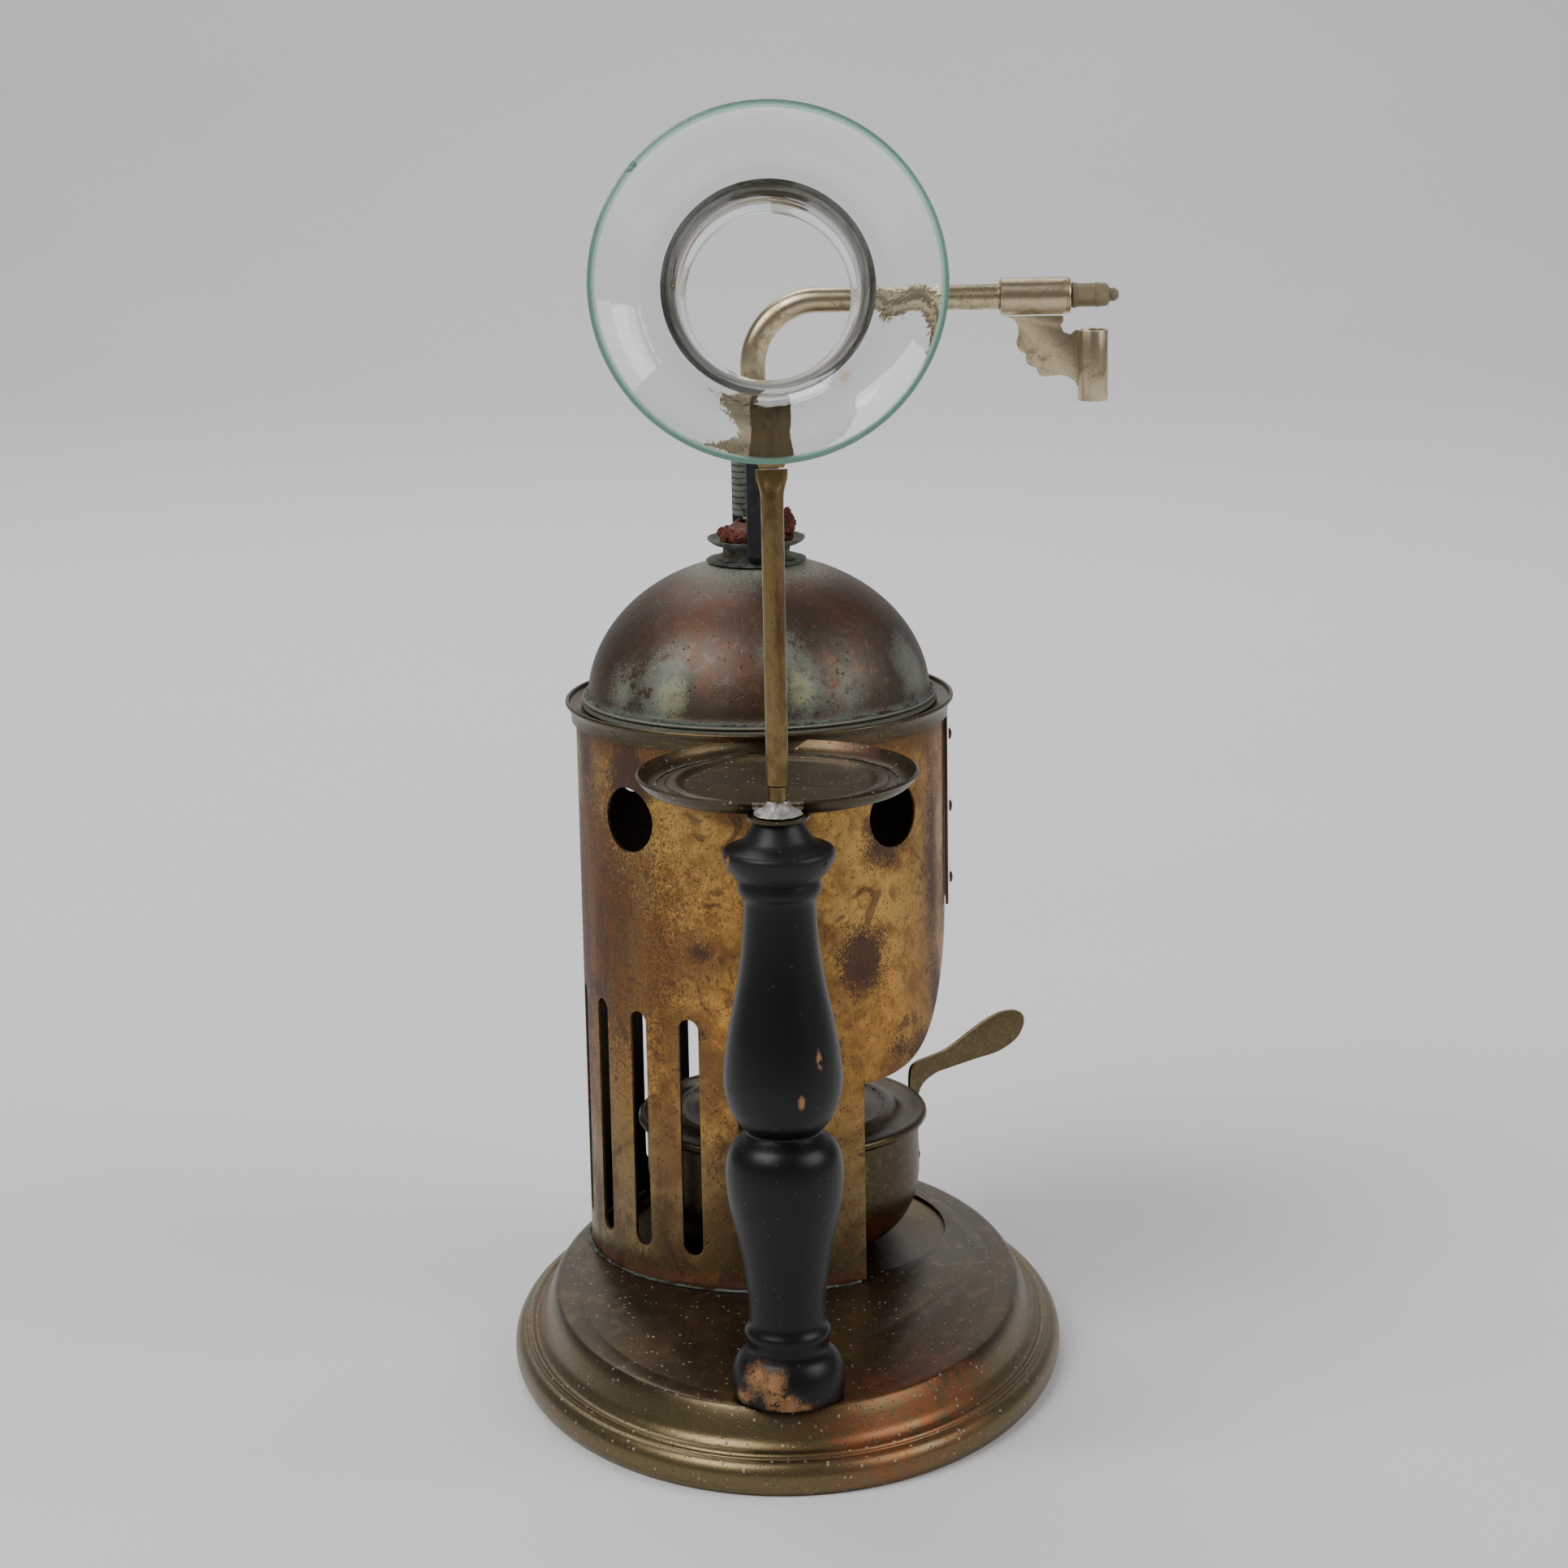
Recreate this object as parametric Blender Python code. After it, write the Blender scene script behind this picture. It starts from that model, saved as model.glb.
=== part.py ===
"""Table steam inhaler: an oval stand, a spirit lamp under a slotted chimney, a small domed
boiler with a sprung valve, a steam arm, and a glass funnel on a rod above a drip tray.

Lengths are in metres. The stand rests on Z = 0, with the chimney towards +Y, the column
towards -Y, and the steam arm pointing to +X as it is left when not in use.
"""
from math import cos, exp, pi, radians, sin, sqrt, tan, tau

import bmesh
import bpy
from mathutils import Matrix, Vector

MM = 0.001
GAP = 0.3 * MM  # room left between pieces that touch

# Stand
BASE_HALF_LENGTH = 85.0 * MM
BASE_HEIGHT = 15.7 * MM
BASE_SHEET = 1.0 * MM
BASE_SHOULDER = 10.4 * MM  # from the outer edge in to the flat top
BASE_HEM = 4.0 * MM  # width of the turned-in foot
BASE_SIDE_MARGIN = 15.7 * MM  # from the chimney out to the base's side
BASE_REAR_MARGIN = 17.3 * MM

# Chimney
SHELL_RADIUS = 40.0 * MM
SHELL_WALL = 0.8 * MM
SHELL_HEIGHT = 120.6 * MM
SHELL_SIDE_SHIFT = -3.6 * MM  # off the base's centre line
DOOR_EDGE_ANGLE = 31.6  # degrees from the front to the nearer door edge
DOOR_REAR_ANGLE = 28.6  # degrees from the rear to the farther door edge
DOOR_EDGE_HEIGHT = 44.0 * MM  # above the chimney's foot
DOOR_CROWN_RISE = 31.0 * MM
SLOT_COUNT = 10
SLOT_PITCH = 18.8  # degrees
SLOT_WIDTH = 4.7 * MM
SLOT_LENGTH = 53.0 * MM
SLOT_BOTTOM = 7.0 * MM  # above the chimney's foot
VENT_RADIUS = 7.0 * MM
VENT_DROP = 18.6 * MM  # from the chimney's top to the vents' centres
VENT_ANGLES = (45, 135, 225, 315)
SEAM_WIDTH = 9.0 * MM
SEAM_SHEET = 0.6 * MM
SEAM_RIVET_RADIUS = 1.3 * MM

# Chimney rim, which the boiler hangs in
RIM_SHEET = 0.7 * MM
RIM_SKIRT = 2.0 * MM
RIM_LIP_OUT = 2.24 * MM
RIM_LIP_UP = 2.3 * MM

# Boiler
BOILER_CLEARANCE = 1.9 * MM  # between boiler and chimney wall
BOILER_SHEET = 0.8 * MM
BOILER_FLANGE = 1.3 * MM
DOME_HEIGHT = 31.0 * MM
BOWL_DEPTH = 27.0 * MM
NECK_RADIUS = 7.2 * MM
NECK_WALL = 1.0 * MM
NECK_RISE = 3.6 * MM  # from the dome's top up to the saucer
SAUCER_RADIUS = 10.6 * MM

# Valve
CORK_TOP = 4.4 * MM  # above the saucer
SPRING_WIRE = 1.4 * MM
SPRING_CLEARANCE = 0.9 * MM  # between the spring and the steam tube
SPRING_TURNS = 6.5
SPRING_LENGTH = 13.7 * MM
YOKE_LAND = 0.5 * MM  # left on each side of the tube's hole
YOKE_THICKNESS = 1.5 * MM
YOKE_TURN = 8.0  # degrees about the boiler's axis

# Steam arm
TUBE_RADIUS = 2.7 * MM
TUBE_WALL = 1.0 * MM
TUBE_BEND = 14.0 * MM
ARM_RISE = 31.0 * MM  # from the yoke's top up to the arm
NOZZLE_LENGTH = 10.0 * MM
NOZZLE_RADIUS = 2.5 * MM
NOZZLE_STANDOFF = 3.0 * MM  # between nozzle and funnel in use
SLEEVE_LENGTH = 14.9 * MM
SLEEVE_WALL = 0.95 * MM
CLIP_RADIUS = 3.3 * MM
CLIP_SHEET = 0.6 * MM
CLIP_LENGTH = 15.0 * MM
CLIP_BACK = 5.4 * MM  # from the nozzle's point back to the clip's axis
CLIP_DROP = 3.4 * MM  # from the sleeve down to the clip's top

# Column, tray and rod
COLUMN_FRONT_MARGIN = 16.0 * MM  # from the base's front edge
COLUMN_BORE_DEPTH = 16.0 * MM
TRAY_RADIUS = 28.0 * MM
TRAY_SHEET = 0.7 * MM
TRAY_DEPTH = 2.7 * MM
TRAY_ABOVE_CHIMNEY = 1.2 * MM  # from the chimney's top up to the tray's lip
TRAY_TONGUE = 6.0 * MM
TRAY_RIM_CLEARANCE = 0.5 * MM
STUB_RADIUS = 1.85 * MM
SPIGOT_RADIUS = 1.37 * MM
SPIGOT_LENGTH = 24.0 * MM
STUB_SHOWN = 5.8 * MM
ROD_RADIUS = 2.175 * MM
ROD_WALL = 0.5 * MM
SCREW_RADIUS = 2.0 * MM
SCREW_LENGTH = 24.0 * MM

# Glass funnel and its band
FUNNEL_TILT = radians(10)
FUNNEL_RADIUS = 34.0 * MM
FUNNEL_LENGTH = 36.9 * MM
FUNNEL_WALL = 1.9 * MM
FUNNEL_NECK = 19.0 * MM  # outside radius where the band holds it
FUNNEL_REACH = 20.6 * MM  # from the rod forward to the mouth
FUNNEL_ABOVE_ARM = 15.4 * MM  # mouth's centre above the steam arm
FUNNEL_FLARE_START = 2.2 * MM  # how far the throat stands out from the neck
FUNNEL_TAIL_TAPER = 1.4 * MM
BAND_WIDTH = 8.0 * MM
BAND_SHEET = 0.6 * MM
STRAP_WIDTH = 7.5 * MM
STRAP_SHEET = 0.8 * MM
STRAP_LENGTH = 12.6 * MM

# Spirit lamp
LAMP_SHEET = 0.7 * MM
LAMP_HEIGHT = 26.9 * MM
LAMP_SIDE_SHIFT = 3.4 * MM  # from the chimney's axis
LAMP_REAR_SHIFT = 0.6 * MM
LAMP_DOOR_CLEARANCE = 0.5 * MM
LAMP_ROUNDING = 13.0 * MM
LID_OVERHANG = 1.9 * MM
LID_SKIRT = 4.4 * MM
RECESS_CLEARANCE = 6.1 * MM
RECESS_DEPTH = 1.3 * MM
WICK_TUBE_RADIUS = 6.1 * MM
WICK_TUBE_WALL = 0.8 * MM
WICK_TUBE_RISE = 9.0 * MM
WICK_RISE = 3.0 * MM
HANDLE_ANGLE = 118.0  # degrees round from the front
HANDLE_SHEET = 1.0 * MM
HANDLE_RIVET_RADIUS = 1.4 * MM
HANDLE_REACH = 33.0 * MM  # beyond the lamp's side

# Places that follow from the sizes above
BASE_HALF_WIDTH = SHELL_RADIUS + abs(SHELL_SIDE_SHIFT) + BASE_SIDE_MARGIN
SHELL_Y = BASE_HALF_LENGTH - BASE_REAR_MARGIN - SHELL_RADIUS
SHELL_FOOT = BASE_HEIGHT + GAP
SHELL_TOP = SHELL_FOOT + SHELL_HEIGHT
RIM_SEAT = SHELL_TOP + GAP + RIM_SHEET
BOILER_RADIUS = SHELL_RADIUS - SHELL_WALL - BOILER_CLEARANCE
BOILER_SEAT = RIM_SEAT + GAP
DOME_FOOT = BOILER_SEAT + BOILER_SHEET + GAP
DOME_TOP = DOME_FOOT + DOME_HEIGHT - BOILER_SHEET
SAUCER = DOME_TOP + NECK_RISE
SPRING_RADIUS = TUBE_RADIUS + SPRING_CLEARANCE + SPRING_WIRE / 2
YOKE_WIDTH = 2 * (TUBE_RADIUS + GAP + YOKE_LAND)
CORK_SHOULDER = SAUCER + GAP
SPRING_FOOT = SAUCER + CORK_TOP + GAP
YOKE_UNDER = SPRING_FOOT + SPRING_LENGTH + GAP
YOKE_TOP = YOKE_UNDER + YOKE_THICKNESS
ARM_HEIGHT = YOKE_TOP + ARM_RISE
COLUMN_Y = COLUMN_FRONT_MARGIN - BASE_HALF_LENGTH
FUNNEL_Y = COLUMN_Y - FUNNEL_REACH
FUNNEL_BORE = FUNNEL_NECK - FUNNEL_WALL
FUNNEL_HEIGHT = ARM_HEIGHT + FUNNEL_ABOVE_ARM
NOZZLE_REACH = SHELL_Y - FUNNEL_Y - FUNNEL_LENGTH * cos(FUNNEL_TILT) - NOZZLE_STANDOFF
TRAY_Y = COLUMN_Y + TRAY_RADIUS
TRAY_LIP = SHELL_TOP + TRAY_ABOVE_CHIMNEY
TRAY_FLOOR = TRAY_LIP - TRAY_DEPTH
COLUMN_TOP = TRAY_FLOOR - TRAY_SHEET - GAP
COLUMN_FOOT = BASE_HEIGHT + GAP
STUB_TOP = TRAY_FLOOR + STUB_SHOWN
ROD_FOOT = STUB_TOP + GAP
DOOR_HALF_CHORD = (SHELL_RADIUS - SHELL_WALL) * cos(radians(DOOR_EDGE_ANGLE))
LID_RADIUS = DOOR_HALF_CHORD - LAMP_DOOR_CLEARANCE - LAMP_REAR_SHIFT
LAMP_RADIUS = LID_RADIUS - LID_OVERHANG
RECESS_RADIUS = LAMP_RADIUS + RECESS_CLEARANCE
RECESS_FLOOR = BASE_HEIGHT - RECESS_DEPTH
LAMP_FOOT = RECESS_FLOOR + GAP
LAMP_TOP = LAMP_FOOT + LAMP_HEIGHT


# Materials and modelling helpers


def finish(name, colour, roughness, metallic, transmission=0.0):
    """One Principled finish."""
    look = bpy.data.materials.new(name)
    look.use_nodes = True
    look.diffuse_color = (*colour, 1)
    shader = look.node_tree.nodes["Principled BSDF"]
    shader.inputs["Base Color"].default_value = (*colour, 1)
    shader.inputs["Roughness"].default_value = roughness
    shader.inputs["Metallic"].default_value = metallic
    shader.inputs["Transmission Weight"].default_value = transmission
    return look


def frame(name, place, parent=None):
    """An empty that carries the pieces of one body."""
    empty = bpy.data.objects.new(name, None)
    bpy.context.scene.collection.objects.link(empty)
    empty.parent = parent
    empty.location = place
    return empty


def solid(name, bm, look, parent, cutter=False):
    """Turn a finished bmesh into a named object under its frame."""
    bmesh.ops.recalc_face_normals(bm, faces=bm.faces)
    mesh = bpy.data.meshes.new(name)
    bm.to_mesh(mesh)
    bm.free()
    mesh.materials.append(look)
    mesh.shade_smooth()
    mesh.set_sharp_from_angle(angle=radians(40))
    piece = bpy.data.objects.new(name, mesh)
    bpy.context.scene.collection.objects.link(piece)
    piece.parent = parent
    if cutter:
        piece.hide_render = True
        piece.display_type = "WIRE"
    return piece


def combine(piece, tool, operation):
    """Cut a hidden tool out of a piece, or join it on."""
    step = piece.modifiers.new(operation.lower(), "BOOLEAN")
    step.operation = operation
    step.solver = "EXACT"
    step.object = tool


def turn_into(bm, profile, sides, ring=False, place=Matrix()):
    """Turn (radius, height) points about Z. A ring's outline closes on itself; otherwise
    the first and last points are closed with flat discs."""
    verts = [bm.verts.new((radius, 0, height)) for radius, height in profile]
    pairs = list(zip(verts, verts[1:]))
    if ring:
        pairs.append((verts[-1], verts[0]))
    edges = [bm.edges.new(pair) for pair in pairs]
    before = set(bm.verts) - set(verts)
    bmesh.ops.spin(bm, geom=verts + edges, cent=(0, 0, 0), axis=(0, 0, 1), angle=tau,
                   steps=sides, use_merge=True)
    made = [vert for vert in bm.verts if vert not in before]
    if not ring:
        rims = [edge for vert in made for edge in vert.link_edges if edge.is_boundary]
        bmesh.ops.holes_fill(bm, edges=list(set(rims)), sides=0)
    bmesh.ops.transform(bm, matrix=place, verts=made)


def turned(name, profile, look, parent, sides=36, ring=False, place=Matrix()):
    """A turned piece."""
    bm = bmesh.new()
    turn_into(bm, profile, sides, ring, place)
    return solid(name, bm, look, parent)


def skin_into(bm, rings, loop=False):
    """Skin matching rings of points one after another, closed at both ends or on itself."""
    rows = [[bm.verts.new(point) for point in ring] for ring in rings]
    pairs = list(zip(rows, rows[1:]))
    if loop:
        pairs.append((rows[-1], rows[0]))
    for low, high in pairs:
        for i in range(len(low)):
            bm.faces.new((low[i - 1], low[i], high[i], high[i - 1]))
    if not loop:
        bm.faces.new(rows[0])
        bm.faces.new(rows[-1])


def skinned(name, rings, look, parent, loop=False):
    """A piece skinned over rings."""
    bm = bmesh.new()
    skin_into(bm, rings, loop)
    return solid(name, bm, look, parent)


def plate_into(bm, outline, back, front, place=Matrix()):
    """A flat outline of (x, z) points, as thick as from back to front along Y."""
    rows = [[place @ Vector((x, y, z)) for x, z in outline] for y in (back, front)]
    skin_into(bm, rows)


def circle(radius, height=0.0, sides=24, stretch=1.0):
    """Points round a circle, or an oval when stretched along Y."""
    return [Vector((radius * cos(tau * i / sides), radius * stretch * sin(tau * i / sides), height))
            for i in range(sides)]


def arc(centre, radius, start, end, steps):
    """Points along an arc in the profile's plane, angles in degrees."""
    angles = [radians(start + (end - start) * i / steps) for i in range(steps + 1)]
    return [(centre[0] + radius * cos(a), centre[1] + radius * sin(a)) for a in angles]


def sheet(path, wall):
    """Outline of an even sheet, given one face; the other face lies to the path's right."""
    points = [Vector(point) for point in path]
    normals = []
    for a, b in zip(points, points[1:]):
        along = (b - a).normalized()
        normals.append(Vector((along.y, -along.x)))
    other = []
    for i, point in enumerate(points):
        first = normals[max(i - 1, 0)]
        second = normals[min(i, len(normals) - 1)]
        mitre = (first + second).normalized()
        other.append(point + mitre * (wall / max(mitre.dot(first), 0.5)))
    return [tuple(point) for point in points + other[::-1]]


def around(angle):
    """Turn about Z that carries the front (-Y) to an angle in degrees towards +X."""
    return Matrix.Rotation(radians(angle), 4, "Z")


# Stand


def oval(inset, height, sides=44):
    """One ring of the base, an even distance in from its outer edge."""
    return [Vector(((BASE_HALF_WIDTH - inset) * cos(tau * i / sides),
                    (BASE_HALF_LENGTH - inset) * sin(tau * i / sides), height))
            for i in range(sides)]


def make_base(stand, brass):
    """Pressed oval base, hollow below, with a shallow round seat for the lamp."""
    cove = [(BASE_SHOULDER, BASE_HEIGHT), (8.9 * MM, BASE_HEIGHT - 0.6 * MM),
            (7.6 * MM, BASE_HEIGHT - 2.6 * MM), (6.5 * MM, 9.6 * MM), (4.6 * MM, 7.8 * MM),
            (2.9 * MM, 7.3 * MM), (1.2 * MM, 6.2 * MM), (0.2 * MM, 4.2 * MM), (0.0, 2.4 * MM),
            (0.5 * MM, 0.8 * MM), (1.3 * MM, 0.0), (1.3 * MM + BASE_HEM, 0.0)]
    outline = sheet(cove, -BASE_SHEET)
    base = skinned("base_plate", [oval(inset, height) for inset, height in outline], brass, stand)

    lamp_place = Matrix.Translation((SHELL_SIDE_SHIFT + LAMP_SIDE_SHIFT, SHELL_Y + LAMP_REAR_SHIFT, 0))
    pocket = bmesh.new()
    floor_under = RECESS_FLOOR - BASE_SHEET
    join_height = BASE_HEIGHT - BASE_SHEET / 2
    turn_into(pocket, [(RECESS_RADIUS + BASE_SHEET, join_height), (RECESS_RADIUS + BASE_SHEET, floor_under)],
              48, place=lamp_place)
    combine(base, solid("recess_pressing", pocket, brass, stand, cutter=True), "UNION")

    cuts = bmesh.new()
    turn_into(cuts, [(RECESS_RADIUS, BASE_HEIGHT + BASE_SHEET), (RECESS_RADIUS - RECESS_DEPTH / 2, RECESS_FLOOR)],
              48, place=lamp_place)
    turn_into(cuts, [(SCREW_RADIUS + GAP, BASE_HEIGHT + BASE_SHEET), (SCREW_RADIUS + GAP, 0)],
              16, place=Matrix.Translation((0, COLUMN_Y, 0)))
    combine(base, solid("base_cuts", cuts, brass, stand, cutter=True), "DIFFERENCE")


def column_profile():
    """Outside of the turned column, as (radius, share of height) from foot to top."""
    turned_outline = [
        (10.6, 0.0), (11.4, 0.012), (11.6, 0.028), (11.1, 0.05), (9.7, 0.074), (8.2, 0.084),
        (8.1, 0.095), (8.6, 0.108), (8.5, 0.118), (7.6, 0.13), (7.7, 0.155), (8.2, 0.205),
        (9.4, 0.27), (10.9, 0.33), (11.65, 0.378), (11.6, 0.41), (10.9, 0.436), (9.2, 0.456),
        (7.5, 0.468), (9.3, 0.486), (10.9, 0.512), (11.7, 0.545), (11.7, 0.575), (11.2, 0.61),
        (9.9, 0.67), (8.5, 0.735), (7.5, 0.8), (7.1, 0.866), (8.2, 0.874), (8.2, 0.892),
        (7.9, 0.9), (9.5, 0.912), (10.9, 0.932), (10.9, 0.946), (6.6, 0.962), (5.2, 0.983),
        (4.9, 1.0)]
    height = COLUMN_TOP - COLUMN_FOOT
    return [(radius * MM, COLUMN_FOOT + share * height) for radius, share in turned_outline]


def make_column(stand, black_wood, brass, steel):
    """Turned wooden column, bored for its stub above and its screw below."""
    bore = STUB_RADIUS + GAP
    pilot = SCREW_RADIUS + GAP
    screw_top = COLUMN_FOOT + SCREW_LENGTH
    profile = ([(pilot, screw_top), (pilot, COLUMN_FOOT)] + column_profile()
               + [(bore, COLUMN_TOP), (bore, COLUMN_TOP - COLUMN_BORE_DEPTH)])
    place = Matrix.Translation((0, COLUMN_Y, 0))
    turned("column", profile, black_wood, stand, sides=20, place=place)

    under = BASE_HEIGHT - BASE_SHEET - GAP
    washer_sheet = 1.0 * MM
    washer_radius = COLUMN_FRONT_MARGIN - BASE_SHOULDER - 2 * GAP
    washer = [(SCREW_RADIUS + GAP, under), (washer_radius, under),
              (washer_radius, under - washer_sheet), (SCREW_RADIUS + GAP, under - washer_sheet)]
    turned("column_washer", washer, steel, stand, sides=20, ring=True, place=place)
    head = under - washer_sheet - GAP
    screw = [(SCREW_RADIUS * 0.6, screw_top - GAP), (SCREW_RADIUS, screw_top - 2.5 * MM),
             (SCREW_RADIUS, head), (3.9 * MM, head), (3.4 * MM, head - 1.6 * MM), (2.0 * MM, head - 2.2 * MM)]
    turned("column_screw", screw, steel, stand, sides=16, place=place)

    collar = 3.2 * MM
    stub = [(SPIGOT_RADIUS, STUB_TOP + SPIGOT_LENGTH), (SPIGOT_RADIUS, STUB_TOP), (STUB_RADIUS, STUB_TOP),
            (STUB_RADIUS, TRAY_FLOOR + 2.9 * MM), (collar * 0.85, TRAY_FLOOR + 1.3 * MM),
            (collar, TRAY_FLOOR + GAP), (STUB_RADIUS, TRAY_FLOOR + GAP),
            (STUB_RADIUS, COLUMN_TOP - COLUMN_BORE_DEPTH + GAP)]
    turned("rod_stub", stub, brass, stand, sides=16, place=place)


def make_tray(stand, brass):
    """Drip tray on the column's top, hollowed where it meets the chimney's rim."""
    floor = [(19.0 * MM, 0.0), (20.2 * MM, 0.6 * MM), (22.0 * MM, 0.6 * MM), (23.2 * MM, 0.0),
             (25.2 * MM, 0.0), (TRAY_RADIUS - 1.1 * MM, 1.2 * MM), (TRAY_RADIUS, TRAY_DEPTH)]
    profile = sheet([(radius, TRAY_FLOOR + height) for radius, height in floor], TRAY_SHEET)
    place = Matrix.Translation((0, TRAY_Y, 0))
    tray = turned("drip_tray", profile, brass, stand, sides=32, place=place)

    column_place = Matrix.Translation((0, COLUMN_Y, 0))
    notch = bmesh.new()
    half = 5.0 * MM
    outline = [(-half, TRAY_FLOOR), (half, TRAY_FLOOR), (half, TRAY_LIP + half), (-half, TRAY_LIP + half)]
    plate_into(notch, outline, COLUMN_Y - half, COLUMN_Y + half)
    combine(tray, solid("tray_notch", notch, brass, stand, cutter=True), "DIFFERENCE")
    tongue = bmesh.new()
    turn_into(tongue, [(TRAY_TONGUE, TRAY_FLOOR - 0.1 * MM), (TRAY_TONGUE, TRAY_FLOOR - TRAY_SHEET)],
              24, place=column_place)
    combine(tray, solid("tray_tongue", tongue, brass, stand, cutter=True), "UNION")
    cuts = bmesh.new()
    reach = SHELL_RADIUS + RIM_LIP_OUT + TRAY_RIM_CLEARANCE
    turn_into(cuts, [(reach, TRAY_LIP + half), (reach, TRAY_FLOOR - half)], 60,
              place=Matrix.Translation((SHELL_SIDE_SHIFT, SHELL_Y, 0)))
    turn_into(cuts, [(STUB_RADIUS + GAP, TRAY_LIP), (STUB_RADIUS + GAP, TRAY_FLOOR - half)], 16,
              place=column_place)
    combine(tray, solid("tray_cuts", cuts, brass, stand, cutter=True), "DIFFERENCE")


# Chimney


def door_height(distance):
    """Height of the door's bell-shaped top at a distance round from its middle."""
    half_width = SHELL_RADIUS * radians(90 - DOOR_EDGE_ANGLE)
    crown = DOOR_CROWN_RISE * exp(-5.0 * (abs(distance) / half_width) ** 1.65)
    return SHELL_FOOT + DOOR_EDGE_HEIGHT + crown


def door_cutter(bm):
    """Curved block that opens the door in the chimney's side."""
    steps = 24
    inner, outer = SHELL_RADIUS * 0.85, SHELL_RADIUS * 1.15
    rings = []
    for i in range(steps + 1):
        angle = radians(DOOR_EDGE_ANGLE + (180 - DOOR_EDGE_ANGLE - DOOR_REAR_ANGLE) * i / steps)
        top = door_height(SHELL_RADIUS * (angle - pi / 2))
        bottom = SHELL_FOOT - SHELL_RADIUS
        corners = ((inner, bottom), (outer, bottom), (outer, top), (inner, top))
        rings.append([Vector((radius * sin(angle), -radius * cos(angle), height))
                      for radius, height in corners])
    skin_into(bm, rings)


def make_chimney(stand, brass):
    """Sheet-brass chimney with air slots, vents and the lamp's door."""
    axis = frame("chimney_axis", (SHELL_SIDE_SHIFT, SHELL_Y, 0), stand)
    inner = SHELL_RADIUS - SHELL_WALL
    wall = [(SHELL_RADIUS, SHELL_TOP), (SHELL_RADIUS, SHELL_FOOT), (inner, SHELL_FOOT), (inner, SHELL_TOP)]
    shell = turned("shell", wall, brass, axis, sides=54, ring=True)

    cuts = bmesh.new()
    near, far = -SHELL_RADIUS * 0.85, -SHELL_RADIUS * 1.15
    half = SLOT_WIDTH / 2
    low = SHELL_FOOT + SLOT_BOTTOM + half
    high = low + SLOT_LENGTH - SLOT_WIDTH
    slot = arc((0, high), half, 0, 180, 6) + arc((0, low), half, 180, 360, 6)
    for i in range(SLOT_COUNT):
        angle = -90 + SLOT_PITCH * (i - (SLOT_COUNT - 1) / 2)
        plate_into(cuts, slot, near, far, around(angle))
    vent = arc((0, SHELL_TOP - VENT_DROP), VENT_RADIUS, 0, 345, 15)
    for angle in VENT_ANGLES:
        plate_into(cuts, vent, near, far, around(angle))
    door_cutter(cuts)
    combine(shell, solid("shell_cuts", cuts, brass, axis, cutter=True), "DIFFERENCE")

    collar = SHELL_RADIUS + GAP
    outside = collar + RIM_SHEET
    seat = BOILER_RADIUS + 2 * GAP
    lip = SHELL_RADIUS + RIM_LIP_OUT
    lip_top = SHELL_TOP + RIM_LIP_UP
    rim = [(seat, RIM_SEAT - RIM_SHEET), (collar, RIM_SEAT - RIM_SHEET), (collar, SHELL_TOP - RIM_SKIRT),
           (outside, SHELL_TOP - RIM_SKIRT), (outside, SHELL_TOP + 0.5 * MM), (lip, lip_top - 0.7 * MM),
           (lip - 0.2 * MM, lip_top), (lip - 0.7 * MM, lip_top - 0.1 * MM), (collar, RIM_SEAT), (seat, RIM_SEAT)]
    turned("shell_rim", rim, brass, axis, sides=40, ring=True)

    seam_inside = SHELL_RADIUS + GAP
    seam_outside = seam_inside + SEAM_SHEET
    seam_low = door_height(0) + 0.8 * MM
    seam_high = SHELL_TOP - RIM_SKIRT - GAP
    reach = SEAM_WIDTH / 2 / SHELL_RADIUS
    rings = []
    for i in range(5):
        angle = pi / 2 - reach + 2 * reach * i / 4
        corners = ((seam_inside, seam_low), (seam_outside, seam_low),
                   (seam_outside, seam_high), (seam_inside, seam_high))
        rings.append([Vector((radius * sin(angle), -radius * cos(angle), height))
                      for radius, height in corners])
    skinned("seam_strip", rings, brass, axis)

    for i in range(3):
        height = seam_low + (seam_high - seam_low) * (0.12 + 0.38 * i)
        make_rivet(f"seam_rivet_{i + 1}", SEAM_RIVET_RADIUS, (90, seam_outside + GAP, height), brass, axis)


def make_rivet(name, radius, seat, look, parent):
    """Low domed rivet head on an upright wall, seated at (angle, distance out, height)."""
    angle, out, height = seat
    head = [(radius, 0), (radius * 0.8, 0.45 * MM), (radius * 0.3, 0.7 * MM)]
    place = around(angle) @ Matrix.Translation((0, -out, height)) @ Matrix.Rotation(pi / 2, 4, "X")
    turned(name, head, look, parent, sides=10, place=place)


# Boiler


def bowl_curve(radius, depth, top, steps):
    """Quarter ellipse from the wall down to near the bottom."""
    last = radians(78)
    return [(radius * cos(last * i / steps), top - depth * sin(last * i / steps)) for i in range(steps + 1)]


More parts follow.
